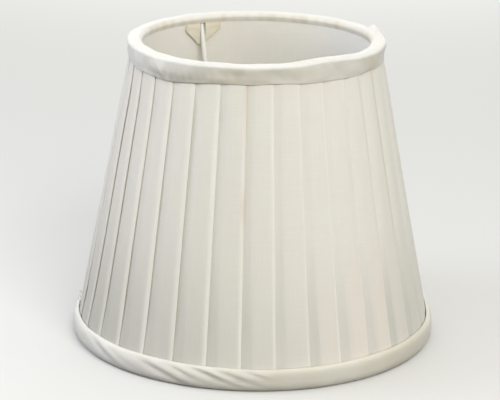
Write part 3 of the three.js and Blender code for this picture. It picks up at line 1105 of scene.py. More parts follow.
@dataclass
class Trim(ABC):
    """A bias strip bound over one ring: an outer face that swells to a fullest line, a round edge and a lip.

    Depths are measured from the rim's edge into the shade. The node is the one that the strip stands for, and
    the ring the one that it is bound over.
    """

    node: ClassVar[str]
    ring: ClassVar[str]

    wall: Wall
    height: float
    fullest: float
    lip_depth: float
    flat_out: float = 0.0
    flat_in: float = 0.0
    cloth: float = 0.22
    ring_depth: float = 1.8
    lip_inset: float = 0.55
    lip_inset_at_arms: float = 0.8
    lip_end_inset: float = 1.0
    lip_end_inset_at_arms: float = 1.0
    arm_reach: float = 10.0
    shoulder: float = 2.0
    hem_share: float = 0.97
    columns: int = 720

    def build(self, finish: ClothFinish) -> bpy.types.Object:
        """Args:
            finish: Its cloth.

        Returns:
            The piece.
        """
        surface = self._surface()
        piece = surface.build()
        thicken(piece, self.cloth, -1.0)
        dress(piece, finish.material(), Slot.TRIM, Body.SHADE, self.node)
        return piece

    @property
    @abstractmethod
    def ring_radius(self) -> float:
        """Radius of the ring."""

    @abstractmethod
    def to_z(self, depth: Array) -> Array:
        """Height of a depth from the rim's edge."""

    def sag(self, azimuth: Array) -> Array:
        """How far the whole strip stands above its level: nowhere, unless a strip says otherwise."""
        return 0.0 * azimuth

    @abstractmethod
    def shape(self, azimuth: Array) -> tuple[Array, Array, Array]:
        """How the strip's free edge lies round the shade.

        Args:
            azimuth: Angle of each column.

        Returns:
            The depth of the free edge, its gap to the pleats, and how full the face below it is.
        """

    @abstractmethod
    def relief(self, azimuth: Array, down: Array) -> Array:
        """How far creases and laps stand proud.

        Args:
            azimuth: Angle of each column.
            down: Distance along the strip from its free edge.

        Returns:
            The relief at each point.
        """

    @abstractmethod
    def stains(self, azimuth: Array, down: Array, share: Array) -> Array:
        """How stained each point is.

        Args:
            azimuth: Angle of each column.
            down: Distance along the strip from its free edge.
            share: The same as a share of the strip's width.

        Returns:
            The stain at each point.
        """

    @abstractmethod
    def greying(self, azimuth: Array, down: Array) -> Array:
        """How grey each point is, painted shade included.

        Args:
            azimuth: Angle of each column.
            down: Distance along the strip from its free edge.

        Returns:
            The greying at each point.
        """

    def _near_arms(self, azimuth: Array) -> Array:
        """1 beside each arm of the drop bar, where a gusset is tucked behind the lip, and 0 elsewhere."""
        half_turn = turned(2.0 * azimuth, 2.0 * self.wall.arm_azimuth) / 2.0
        return np.exp(-((half_turn / self.arm_reach) ** 4))

    def _profile(self, azimuth: Array, edge_depth: Array, gap: Array, fullness: Array) -> tuple[Array, Array]:
        """Radius and depth of the strip's outer face from its free edge over the rim to the lip.

        Four stretches follow each other: a quarter of a superellipse from the free edge out to the fullest
        line, one from there up over the ring, an elliptic one down to the lip, and the straight lip.

        Args:
            azimuth: Angle of each column.
            edge_depth: Depth of the free edge in each column.
            gap: Gap between that edge and the pleats in each column.
            fullness: Power of the first superellipse in each column: 2 is an ellipse, and 1 a straight line.

        Returns:
            Radius and depth, points by columns.
        """
        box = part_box(self.node)
        full = (box[1].y - box[0].y) / 2.0 / MM
        edge = self.wall.cover.radius(self.to_z(edge_depth) + self.sag(azimuth)) + gap + self.cloth
        near = self._near_arms(azimuth)
        inset = between(self.lip_inset, self.lip_inset_at_arms, near)
        inset_end = inset * between(self.lip_end_inset, self.lip_end_inset_at_arms, near)
        lip = self.wall.lining.radius(self.to_z(np.array(self.ring_depth))) - inset
        lip_end = self.wall.lining.radius(self.to_z(np.array(self.lip_depth))) - inset_end

        def quarter(first: float, last: float, count: int, power: Array) -> tuple[Array, Array]:
            """Size of cosine and sine along a quarter of a superellipse of that power, as a column."""
            angle = np.radians(np.linspace(first, last, count))[:, None]
            return np.abs(np.cos(angle)) ** (2.0 / power), np.abs(np.sin(angle)) ** (2.0 / power)

        cos, sin = quarter(90.0, 0.0, 13, fullness)
        swell = (between(edge, full, cos), between(self.fullest, edge_depth, sin))
        cos, sin = quarter(0.0, 90.0, 14, self.shoulder)
        crown = (between(self.ring_radius + self.flat_out, full, cos), self.fullest * (1.0 - sin))
        cos, sin = quarter(90.0, 180.0, 9, 2.0)
        over = (between(self.ring_radius - self.flat_in, lip, cos), self.ring_depth * (1.0 - sin))
        share = np.array([0.25, 0.5, 0.75, self.hem_share, 1.0])[:, None]
        hem = (between(lip, lip_end, share), between(self.ring_depth, self.lip_depth, share))
        stretches = (swell, [part[1:] for part in crown], [part[1:] for part in over], hem)
        radius, depth = (
            np.concatenate([np.broadcast_to(part, (len(part), self.columns)) for part in parts])
            for parts in zip(*stretches)
        )
        return radius, depth

    def _surface(self) -> Surface:
        """The strip as a closed grid: the profile in each column, moved along its normal by the relief.

        Returns:
            The surface, with its stains and greying marked, painted shade among them, and its faces outward.
        """
        azimuth = np.linspace(0.0, 360.0, self.columns, endpoint=False)[None, :]
        radius, depth = self._profile(azimuth, *self.shape(azimuth))
        height = self.to_z(depth) + self.sag(azimuth)
        step = np.hypot(np.diff(radius, axis=0), np.diff(height, axis=0))
        down = np.concatenate([np.zeros((1, self.columns)), np.cumsum(step, axis=0)])
        slope_r, slope_z = np.gradient(radius, axis=0), np.gradient(height, axis=0)
        steep = np.hypot(slope_r, slope_z)
        outward = 1.0 if self.to_z(np.array(1.0)) < self.to_z(np.array(0.0)) else -1.0
        relief = self.relief(azimuth, down)
        radius = radius + outward * relief * slope_z / steep
        height = height - outward * relief * slope_r / steep
        points = round_axis(radius, azimuth, height)
        share = down / down[-1:]
        stain = np.clip(self.stains(azimuth, down, share), 0.0, 1.0)
        greying = np.clip(self.greying(azimuth, down), 0.0, 1.0)

        around = np.radians(np.linspace(0.0, 360.0, self.columns + 1)) * radius.max()
        across = down.mean(axis=1)
        if outward < 0.0:
            points, stain, greying, across = points[::-1], stain[::-1], greying[::-1], across[::-1]
        uv = np.stack(np.broadcast_arrays(around[None, :], across[:, None]), axis=-1)
        return Surface(self.node + "_binding", points, uv, closed=True,
                       marks={Mark.STAIN_AND_SHADE: stain, Mark.GREY: greying})


@dataclass
class TopTrim(Trim):
    """The strip over the top ring: loose at its edge on the left, with a lapped end at the back right."""

    node: ClassVar[str] = "top_trim"
    ring: ClassVar[str] = "top_ring"

    waver: Ripple = Ripple(1.0, 7, 16)
    edge_waver: float = 0.2
    edge_raise: float = 0.25
    edge_gap: float = 0.03
    gap_waver: float = 0.02
    face: float = 1.02
    hang: Patch = Patch(1.45, 222.0, 20.0)
    rim_rises: tuple[Patch, ...] = (Patch(1.25, 303.0, 14.0), Patch(-0.5, 228.0, 30.0))
    loose: Patch = Patch(1.0, 228.0, 21.0)
    loose_waver: float = 0.2
    loose_hang: float = 0.3
    loose_gap: float = 0.3
    loose_face: float = 1.9
    loose_swell: float = 0.5
    loose_band: Span = (3.4, 2.4)
    groove: Patch = Patch(0.2, 256.0, 18.0, band=(3.6, 1.1))
    crease_azimuth: float = 226.0
    crease_height: float = 0.3
    crease_down: float = 2.5
    crease_width: float = 1.1
    crease_reach: float = 5.0
    crease_end: Span = (8.5, 5.5)
    lap_azimuth: float = 19.5
    lap_length: float = 34.0
    lap_height: float = 0.45
    lap_power: float = 1.4
    lap_start: Span = (2.0, 6.0)
    lap_end: Span = (14.5, 11.5)
    lap_step: float = 0.3
    lap_tip: float = 1.7
    lap_tip_reach: float = 5.0
    lap_tip_down: float = 8.6
    lap_tip_width: float = 1.7
    dents: tuple[Ripple, ...] = (Ripple(0.13, 11, 26, 11.0), Ripple(0.05, 9, 80, 5.0))
    dents_start: Span = (0.0, 1.5)
    dents_end: Span = (11.5, 14.0)
    dents_lost: float = 0.9

    patchy: Ripple = Ripple(0.5, 10, 60)
    tanned: tuple[Patch, ...] = (Patch(0.46, 260.0, 28.0), Patch(0.28, 316.0, 34.0), Patch(0.36, 332.0, 9.0))
    tanned_end: Span = (7.5, 5.0)
    tanned_least: float = 0.8
    tanned_patchy: float = 0.3
    lip_start: Span = (0.7, 0.82)
    lip_stain: float = 0.12
    lip_glue: float = 0.4
    beside_arm: Patch = Patch(0.3, 4.0, 16.0, fade=(0.8, 1.0))
    # Painted shade on the face at the front left, growing towards the free edge.
    painted_shade_left: Patch = Patch(0.72, 236.0, 23.0, fade=(206.0, 222.0))
    grey_right: Patch = Patch(0.16, 330.0, 12.0)
    face_grey_end: Span = (7.5, 2.0)
    blotches: Ripple = Ripple(0.22, 12, 110, 6.0)
    rubbed: tuple[Patch, ...] = (Patch(0.12, 304.0, 26.0), Patch(0.2, 247.0, 13.0))
    rubbed_start: Span = (4.5, 7.0)
    lip_soil: float = 0.05
    lip_soil_start: Span = (11.0, 13.0)

    @property
    def ring_radius(self) -> float:
        """Radius of the top ring."""
        return self.wall.top_ring_radius

    def to_z(self, depth: Array) -> Array:
        """Height of a depth below the top of the rim."""
        return self.wall.top_rim_z - depth

    def shape(self, azimuth: Array) -> tuple[Array, Array, Array]:
        """The free edge wavers slightly. On the left it hangs lower and stands off below a rounder face.

        Args:
            azimuth: Angle of each column.

        Returns:
            The depth of the free edge, its gap to the pleats, and how full the face below it is.
        """
        rng = np.random.default_rng(SEED + 2)
        waver = self.waver.at(rng, azimuth)
        loose = self.loose.at(azimuth) * (1.0 + self.loose_waver * waver)
        hang = self.hang.at(azimuth) - self.edge_raise + self.loose_hang * loose
        depth = self.height + self.edge_waver * waver + hang + self.sag(azimuth)
        gap = self.edge_gap + self.gap_waver * np.abs(waver) + self.loose_gap * loose
        return depth, gap, self.face + self.loose_face * loose

    def sag(self, azimuth: Array) -> Array:
        """The rim dips in a bell on the front left and stands up in a narrower one on the front right."""
        return patched(self.rim_rises, azimuth)

    def relief(self, azimuth: Array, down: Array) -> Array:
        """A pinched crease, a loose swell, a shallow groove, the lapped end and slight dents.

        The crease runs down to the right and falls off exponentially on both sides. The lap grows by a power
        of its length to a step, with a pointed tip as a bell on the crown.

        Args:
            azimuth: Angle of each column.
            down: Distance along the strip from its free edge.

        Returns:
            The relief at each point.
        """
        rng = np.random.default_rng(SEED + 3)
        around = np.radians(turned(azimuth, self.crease_azimuth)) * self.wall.top_ring_radius
        across = (around + (down - self.crease_down)) / math.sqrt(2.0)
        crease = self.crease_height * np.exp(-np.abs(across) / self.crease_width)
        crease = crease * smoothstep(*self.crease_end, down) * bell(around, 0.0, self.crease_reach)

        behind = turned(azimuth, self.lap_azimuth)
        lap = self.lap_height * (1.0 - np.clip(-behind / self.lap_length, 0.0, 1.0)) ** self.lap_power
        lap = lap * smoothstep(*self.lap_start, down) * smoothstep(*self.lap_end, down)
        tip = self.lap_tip * bell(behind, 0.0, self.lap_tip_reach)
        tip = tip * bell(down, self.lap_tip_down, self.lap_tip_width)
        lap = (lap + tip) * smoothstep(self.lap_step, -self.lap_step, behind)

        dents = sum(dent.at(rng, azimuth, down) for dent in self.dents)
        dents = dents * smoothstep(*self.dents_start, down)
        dents = dents * (1.0 - self.dents_lost * smoothstep(*self.dents_end, down))
        loose = self.loose_swell * self.loose.at(azimuth) * bell(down, *self.loose_band)
        return crease + loose - self.groove.at(azimuth, down) + lap + dents

    def stains(self, azimuth: Array, down: Array, share: Array) -> Array:
        """Glue along the lip's edge, browner near the rear arm, and a tan shadow on the face.

        Args:
            azimuth: Angle of each column.
            down: Distance along the strip from its free edge.
            share: The same as a share of the strip's width.

        Returns:
            The stain at each point.
        """
        rng = np.random.default_rng(SEED + 4)
        patchy = np.clip(0.5 + self.patchy.at(rng, azimuth), 0.0, 1.0)
        lip = smoothstep(*self.lip_start, share) * (self.lip_stain + self.lip_glue * patchy ** 2)
        rear = self.beside_arm.at(azimuth - self.wall.arm_azimuth, share)
        tanned = patched(self.tanned, azimuth) * (self.tanned_least + self.tanned_patchy * patchy)
        return lip + rear + tanned * smoothstep(*self.tanned_end, down)

    def greying(self, azimuth: Array, down: Array) -> Array:
        """Grey blotches on the face, most at its front left and free edge, where they are painted shade, and
        fainter ones on the crown.

        Args:
            azimuth: Angle of each column.
            down: Distance along the strip from its free edge.

        Returns:
            The greying at each point, painted shade included.
        """
        rng = np.random.default_rng(SEED + 8)
        # The front left patch is painted shade on the face.
        greyed = self.painted_shade_left.at(azimuth, azimuth) + self.grey_right.at(azimuth)
        face = greyed * (1.0 + self.blotches.at(rng, azimuth, down)) * smoothstep(*self.face_grey_end, down)
        lip = smoothstep(*self.lip_soil_start, down)
        crown = patched(self.rubbed, azimuth) * smoothstep(*self.rubbed_start, down) * (1.0 - lip)
        return face + crown + self.lip_soil * lip


@dataclass(frozen=True)
class DragFold:
    """One slanting wrinkle of a strip: a valley with a ridge on its right, given by the valley's middle."""

    azimuth: float
    down: float
    depth: float
    width: float
    reach: float
    ridge_height: float = 0.75
    ridge_place: float = 1.5
    ridge_width: float = 1.15

    def relief(self, azimuth: Array, down: Array, slope: float, ring_radius: float) -> Array:
        """How far the fold stands proud.

        Across the valley's slanting line it is a bell below the face and, a share of its width to the right,
        a lower and broader bell above it. Along the line both fade as a bell.

        Args:
            azimuth: Angle of each column.
            down: Distance along the strip from its free edge.
            slope: Way round over way down of the valley's line.
            ring_radius: Radius of the ring below the strip.

        Returns:
            The relief at each point.
        """
        around = np.radians(turned(azimuth, self.azimuth)) * ring_radius
        across = (around - slope * (down - self.down)) / math.hypot(1.0, slope)
        valley = bell(across, 0.0, self.width)
        ridge = self.ridge_height * bell(across, self.ridge_place * self.width, self.ridge_width * self.width)
        return self.depth * (ridge - valley) * bell(down, self.down, self.reach)


@dataclass
class BottomTrim(Trim):
    """The strip over the bottom ring: drag folds on the front left and a lapped end on the right."""

    node: ClassVar[str] = "bottom_trim"
    ring: ClassVar[str] = "bottom_ring"

    drag_slope: float = 2.6
    drag_folds: tuple[DragFold, ...] = (
        DragFold(azimuth=214.5, down=4.3, depth=0.4, width=1.5, reach=2.8),
        DragFold(azimuth=224.0, down=4.3, depth=0.12, width=1.2, reach=2.4),
        DragFold(azimuth=240.0, down=5.2, depth=0.58, width=1.4, reach=2.6),
        DragFold(azimuth=248.7, down=4.3, depth=0.36, width=0.8, reach=1.9),
        DragFold(azimuth=256.3, down=3.9, depth=0.62, width=1.0, reach=2.7),
        DragFold(azimuth=264.5, down=4.3, depth=0.44, width=1.1, reach=2.4),
        DragFold(azimuth=270.5, down=2.8, depth=0.26, width=0.7, reach=1.7),
    )
    lap_azimuth: float = 4.0
    lap_reach: float = 6.0
    lap_drop: float = 2.2
    lap_rise: float = 4.4
    lap_height: float = 0.35
    lap_face: float = 1.4
    lap_start: Span = (1.0, 4.0)
    waver: Ripple = Ripple(1.0, 7, 18)
    edge_waver: float = 0.16
    edge_gap: float = 0.04
    gap_waver: float = 0.05
    face: float = 2.2
    bulge: Patch = Patch(1.2, 312.0, 50.0)
    folds_start: Span = (-1.2, 1.8)
    uneven: tuple[Ripple, ...] = (Ripple(0.09, 9, 34, 20.0), Ripple(0.03, 9, 90, 6.0))
    uneven_start: Span = (0.0, 2.0)
    face_end: Span = (11.0, 8.0)

    patchy: Ripple = Ripple(0.5, 8, 40)
    tanned: Patch = Patch(0.46, 306.0, 54.0, fade=(0.75, 0.55))
    tanned_least: float = 0.75
    tanned_patchy: float = 0.4
    lip_start: Span = (0.88, 1.0)
    lip_stain: float = 0.3
    edge_stain: Patch = Patch(0.06, band=(0.0, 0.6))
    greyed: tuple[Patch, ...] = (Patch(0.3, 268.0, 28.0), Patch(0.5, 332.0, 20.0))

    @property
    def ring_radius(self) -> float:
        """Radius of the bottom ring."""
        return self.wall.bottom_ring_radius

    def to_z(self, depth: Array) -> Array:
        """Height of a depth above the foot of the rim."""
        return self.wall.bottom_rim_z + depth

    def shape(self, azimuth: Array) -> tuple[Array, Array, Array]:
        """The free edge wavers slightly. Its lapped end climbs in half a bell, drops and lies flatter.

        Args:
            azimuth: Angle of each column.

        Returns:
            The depth of the free edge, its gap to the pleats, and how full the face below it is.
        """
        rng = np.random.default_rng(SEED + 5)
        waver = self.waver.at(rng, azimuth)
        past = turned(azimuth, self.lap_azimuth)
        lap = np.where(past < 0.0, bell(past, 0.0, self.lap_reach), smoothstep(self.lap_drop, 0.0, past))
        depth = self.height + self.edge_waver * waver + self.lap_rise * lap
        gap = (self.edge_gap + self.gap_waver * np.abs(waver)) * (1.0 - lap)
        return depth, gap, between(self.face + self.bulge.at(azimuth), self.lap_face, lap)

    def relief(self, azimuth: Array, down: Array) -> Array:
        """The drag folds, the swell of the lap as a bell, and a slight unevenness all round.

        Args:
            azimuth: Angle of each column.
            down: Distance along the strip from its free edge.

        Returns:
            The relief at each point.
        """
        rng = np.random.default_rng(SEED + 6)
        slant = (self.drag_slope, self.wall.bottom_ring_radius)
        wrinkles = sum(fold.relief(azimuth, down, *slant) for fold in self.drag_folds)
        wrinkles = wrinkles * smoothstep(*self.folds_start, down)
        swell = self.lap_height * hump(azimuth, self.lap_azimuth, self.lap_reach)
        swell = swell * smoothstep(*self.lap_start, down)
        uneven = sum(part.at(rng, azimuth, down) for part in self.uneven)
        return (wrinkles + uneven * smoothstep(*self.uneven_start, down) + swell) * self._on_face(down)

    def _on_face(self, down: Array) -> Array:
        """1 on the outer face and 0 past the fullest line, on the flat stretch that the shade stands on."""
        return smoothstep(*self.face_end, down)

    def stains(self, azimuth: Array, down: Array, share: Array) -> Array:
        """A tan shadow on the face, a faint line under the free edge and a stained lip.

        Args:
            azimuth: Angle of each column.
            down: Distance along the strip from its free edge.
            share: The same as a share of the strip's width.

        Returns:
            The stain at each point.
        """
        rng = np.random.default_rng(SEED + 7)
        patchy = np.clip(0.5 + self.patchy.at(rng, azimuth), 0.0, 1.0)
        face = self.tanned.at(azimuth, share) * (self.tanned_least + self.tanned_patchy * patchy)
        lip = smoothstep(*self.lip_start, share) * self.lip_stain * patchy
        return lip + self.edge_stain.at(azimuth, down) + face

    def greying(self, azimuth: Array, down: Array) -> Array:
        """Grey on the front and at the far right, over the whole outer face."""
        return patched(self.greyed, azimuth) * self._on_face(down)


@dataclass
class Gusset:
    """A V of lining cloth that closes the slit beside one arm, with a slot between its tails for the wire."""

    wall: Wall
    node: str
    azimuth: float
    width: float = 16.6
    slot: float = 2.6
    foot_z: float = 113.2
    slot_end_z: float = 116.6
    tail_z: float = 119.6
    top_z: float = 123.4
    cloth: float = 0.25
    inset: float = 0.45
    tucked_inset: float = 0.15
    curl: float = 0.7
    curl_fall: float = 5.0
    foot_side: float = 0.5
    flare: float = 1.15
    edge_stand: float = 0.35
    puff: float = 0.25
    tuck_start: float = 1.2
    tuck_end: float = 0.8
    glue: float = 0.1
    glue_top: float = 0.2
    glue_start: float = 2.0
    # Painted shadow along the wings' outer edges, where they stand off the lining.
    painted_edge_shadow: float = 0.35
    rows: int = 28
    half_columns: int = 12

    def build(self, material: bpy.types.Material) -> bpy.types.Object:
        """Args:
            material: The cloth's material.

        Returns:
            The piece.
        """
        piece = self._surface().build()
        thicken(piece, self.cloth, 0.0)
        dress(piece, material, Slot.GUSSET, Body.SHADE, self.node)
        return piece

    def _surface(self) -> Surface:
        """The V as a grid: heights by places across it, with the faces of the slot left out.

        Half the width grows from the foot to the tails by a gentle curve. The cloth lies just inside the
        lining, its outer edges stand off a little, its slot edges curl in beside the wire, and its top is
        tucked behind the lip.

        Returns:
            The surface.
        """
        height = np.linspace(self.foot_z, self.top_z, self.rows)[:, None]
        share = np.linspace(0.0, 1.0, self.half_columns)
        side = np.concatenate([-share[::-1], share])[None, :]
        spread = np.clip((height - self.foot_z) / (self.tail_z - self.foot_z), 0.0, 1.0)
        slot = self.slot / 2.0
        half = between(slot + self.foot_side, self.width / 2.0, spread ** self.flare)
        which = np.repeat([-1.0, 1.0], self.half_columns)[None, :]
        x = which * slot + side * (half - slot)

        place = np.abs(side)
        free = 1.0 - smoothstep(self.tail_z, self.top_z, height)
        loose = np.sin(np.pi * spread) * free
        curl = self.curl * np.exp(-place * self.curl_fall) * free
        edge = self.edge_stand * place ** 4 * loose
        puff = self.puff * np.sin(np.pi * place) * loose
        tucked = smoothstep(self.tail_z + self.tuck_start, self.top_z - self.tuck_end, height)
        inset = between(self.inset, self.tucked_inset, tucked) + curl + edge + puff
        radius = self.wall.lining.radius(height) - inset
        around = self.wall.lining.radius(np.array(self.top_z))
        points = round_axis(radius, self.azimuth + np.degrees(x / around), height)

        middle = np.arange(2 * self.half_columns - 1) == self.half_columns - 1
        gaps = (height[1:, 0] > self.slot_end_z)[:, None] & middle[None, :]
        uv = np.stack(np.broadcast_arrays(x, height), axis=-1)
        top = self.glue_top * smoothstep(self.tail_z - self.glue_start, self.top_z, height)
        # The outer edges are darkened by a painted shadow; the rest of the stain is glue.
        stain = np.clip(self.glue + top + self.painted_edge_shadow * place ** 6, 0.0, 1.0)
        return Surface(self.node + "_cloth", points, uv, marks={Mark.STAIN_AND_SHADE: stain}, gaps=gaps)


@dataclass
class Fray:
    """Loose threads at the cut end of the bottom strip, on its free edge at the left."""

    wall: Wall
    azimuth: float = 175.0
    height: float = 9.4
    threads: int = 7
    thread: float = 0.3
    spread: float = 5.0
    longest: float = 3.6
    shortest_share: float = 0.5
    most_slant: float = 1.6
    droops: Span = (0.2, 0.9)
    outward: float = 0.45
    stand_off: float = 0.35
    sunk: float = 0.3
    sweep: float = 75.0

    def build(self, material: bpy.types.Material) -> None:
        """Builds and dresses the threads.

        Each is a thin tube along a parabola that leaves the edge and curls over.

        Args:
            material: The strip's material.
        """
        rng = np.random.default_rng(SEED + 8)
        for number in range(self.threads):
            azimuth = self.azimuth + rng.uniform(-self.spread, self.spread)
            reach = rng.uniform(self.shortest_share, 1.0) * self.longest
            slant = rng.uniform(-self.most_slant, self.most_slant)
            droop = rng.uniform(*self.droops)
            share = np.linspace(0.0, 1.0, 9)
            out = reach * share * self.outward
            up = reach * (share - droop * share ** 2)
            turn = np.degrees(slant * share ** 1.5 * reach / self.sweep)
            radius = self.wall.cover.radius(np.array(self.height)) + self.stand_off + out
            path = round_axis(radius, azimuth + turn, self.height - self.sunk + up)
            side = round_axis(np.array(1.0), np.array(azimuth + 90.0), np.array(0.0))
            piece = tube(f"frayed_thread_{number + 1}", path, side, self.thread, 6).build()
            dress(piece, material, Slot.TRIM, Body.SHADE)


@dataclass
class Fitting:
    """The drop bar across the shade, and the sprung clip that turns on it.

    Local X runs along the bar, local Y across it and heights are measured down from the bar.
    """

    wall: Wall
    bar_z: float = 92.0
    bar_wire: float = 2.0
    bar_bend: float = 6.0
    arm_inset: float = 0.27
    arm_lean: float = 0.24
    saddle_length: float = 12.0
    saddle_sheet: float = 0.8
    saddle_bevel: float = 0.14
    flange_gap: float = 0.4
    flange_drop: float = 6.5
    roll_wrap: float = 240.0
    rivet_spacing: float = 6.0
    rivet_shank: float = 1.6
    rivet_head: float = 3.0
    rivet_dome: float = 0.7
    rivet_seat_gap: float = 0.02
    loop_wire: float = 1.6
    loop_end_round: float = 0.25
    loop_end_gap: float = 0.8
    loop_shoulder: float = 2.2
    belly_drop: float = 36.0
    belly_reach: float = 14.6
    waist_drop: float = 45.0
    waist_reach: float = 13.6
    end_drop: float = 53.0
    end_reach: float = 16.4
    clearance: float = 0.3

    @property
    def flange_y(self) -> float:
        """Distance from the bar's plane to the middle of a flange."""
        return (self.flange_gap + self.saddle_sheet) / 2.0

    @property
    def roll_radius(self) -> float:
        """Radius of a flange's roll to the middle of its sheet."""
        return self.loop_wire / 2.0 + self.clearance + self.saddle_sheet / 2.0

    @property
    def hinge_y(self) -> float:
        """Distance from the bar's plane to the axis of a loop."""
        return self.flange_y + self.roll_radius

    def _place(self, points: Array) -> Array:
        """Turns local points to the bar's azimuth and lifts them to its height.

        Args:
            points: The points, with the bar along X at height 0.

        Returns:
            The points in the shade.
        """
        angle = math.radians(self.wall.arm_azimuth)
        turn = np.array([[math.cos(angle), math.sin(angle), 0.0], [-math.sin(angle), math.cos(angle), 0.0],
                         [0.0, 0.0, 1.0]])
        return points @ turn + np.array([0.0, 0.0, self.bar_z])

    def build(self, wire: bpy.types.Material, sheet: bpy.types.Material, spring: bpy.types.Material) -> None:
        """Builds and dresses every piece of the fitting.

        Args:
            wire: Finish of the drop bar.
            sheet: Finish of the saddle and its rivets.
            spring: Finish of the loops.
        """
        dress(self._bar().build(), wire, Slot.FRAME, Body.SHADE, "drop_bar")
        saddle = self._saddle().build()
        thicken(saddle, self.saddle_sheet, 0.0)
        bevel = saddle.modifiers.new("dressed_edges", "BEVEL")
        bevel.width = self.saddle_bevel * MM
        bevel.segments = 2
        bevel.angle_limit = math.radians(50.0)
        dress(saddle, sheet, Slot.CLIP, Body.CLIP, "clip_saddle")
        for number, side in ((1, -1.0), (2, 1.0)):
            dress(self._rivet(number, side).build(), sheet, Slot.CLIP, Body.CLIP, f"clip_rivet_{number}")
        for name, side, body in (("left", 1.0, Body.LOOP_LEFT), ("right", -1.0, Body.LOOP_RIGHT)):
            dress(self._loop(name, side).build(), spring, Slot.SPRING, body, f"clip_loop_{name}")

    def _bar(self) -> Surface:
        """The drop bar: two leaning arms, each joined to the straight bar by a parabola at the corner.

        Returns:
            The wire's surface.
        """
        top_z = self.wall.cover.high_z - self.bar_z
        top = np.array([self.wall.top_ring_radius - self.arm_inset, 0.0, top_z])
        corner = np.array([top[0] - self.arm_lean * top_z, 0.0, 0.0])
        arm = top - corner
        bend_start = corner + arm / np.linalg.norm(arm) * self.bar_bend
        bend_end = corner - np.array([self.bar_bend, 0.0, 0.0])
        share = np.linspace(0.0, 1.0, 13)[:, None]
        bend = (1 - share) ** 2 * bend_start + 2 * share * (1 - share) * corner + share ** 2 * bend_end
        down = top + (bend_start - top) * np.linspace(0.0, 1.0, 13)[:-1, None]
        across = bend_end * (1.0 - np.linspace(0.0, 1.0, 14)[1:, None])
        half = np.concatenate([down, bend, across])
        mirror = np.array([-1.0, 1.0, 1.0])
        path = np.concatenate([half, (half * mirror)[-2::-1]])
        surface = tube("drop_bar_wire", path, np.array([0.0, 1.0, 0.0]), self.bar_wire, 18)
        surface.points = self._place(surface.points)
        return surface

    def _saddle(self) -> Surface:
        """The saddle's middle surface: one line of arcs across the bar, carried along the bar.

        The line rolls outwards at the foot of one flange, climbs it, goes round the bar, comes down the other
        flange and rolls outwards again.

        Returns:
            The surface.
        """
        sleeve_radius = self.bar_wire / 2.0 + self.clearance + self.saddle_sheet / 2.0
        mouth = math.degrees(math.asin(self.flange_y / sleeve_radius))

        def arc(centre: Span, radius: float, first: float, last: float, count: int) -> Array:
            """Points on an arc in the plane across the bar."""
            angle = np.radians(np.linspace(first, last, count))
            return np.array(centre) + radius * np.stack([np.cos(angle), np.sin(angle)], axis=1)

        bar = (0.0, 0.0)
        hinge = (self.hinge_y, -self.flange_drop)
        roll = arc(hinge, self.roll_radius, self.roll_wrap - 180.0, -180.0, 22)
        flange_top = arc(bar, sleeve_radius, mouth - 90.0, mouth - 90.0, 1)
        flange = roll[-1:] + (flange_top - roll[-1:]) * np.linspace(0.0, 1.0, 6)[1:-1, None]
        sleeve = arc(bar, sleeve_radius, mouth - 90.0, 270.0 - mouth, 25)
        mirrored = np.concatenate([roll, flange])[::-1] * np.array([-1.0, 1.0])
        line = np.concatenate([roll, flange, sleeve, mirrored])
        along = np.linspace(-self.saddle_length / 2.0, self.saddle_length / 2.0, 9)
        x, y = np.meshgrid(along, line[:, 0], indexing="ij")
        z = np.broadcast_to(line[:, 1], x.shape)
        length = np.concatenate([[0.0], np.cumsum(np.linalg.norm(np.diff(line, axis=0), axis=1))])
        uv = np.stack(np.meshgrid(length, along), axis=-1)
        return Surface("clip_saddle_strip", self._place(np.stack([x, y, z], axis=-1)), uv)

    def _rivet(self, number: int, side: float) -> Surface:
        """One rivet: a shank across both flanges with a domed head at each end.

        Its profile is turned about an axis along local Y: from the pole of one dome down a quarter ellipse,
        in to the shank, along it and out again.

        Args:
            number: Which rivet.
            side: Which way it stands from the middle of the saddle.

        Returns:
            The surface.
        """
        seat = self.flange_y + self.saddle_sheet / 2.0 + self.rivet_seat_gap
        angle = np.radians(np.linspace(86.0, 0.0, 9))
        dome_radius = self.rivet_head / 2.0 * np.cos(angle)
        dome_y = seat + self.rivet_dome * np.sin(angle)
        radius = np.concatenate([dome_radius, [self.rivet_shank / 2.0]])
        y = np.concatenate([dome_y, [seat]])
        radius = np.concatenate([radius, radius[::-1]])
        y = np.concatenate([y, -y[::-1]])
        turn = np.linspace(0.0, 2.0 * np.pi, 28, endpoint=False)
        x = side * self.rivet_spacing / 2.0 + radius[:, None] * np.cos(turn)
        z = -(self.flange_drop + self.bar_wire / 2.0) / 2.0 + radius[:, None] * np.sin(turn)
        points = np.stack([x, np.broadcast_to(y[:, None], x.shape), z], axis=-1)
        girth = np.linspace(0.0, np.pi * self.rivet_head, 29)
        uv = np.stack(np.meshgrid(girth, np.arange(len(y)) * 0.3), axis=-1)
        return Surface(f"clip_rivet_domed_{number}", self._place(points), uv, closed=True, capped=True)

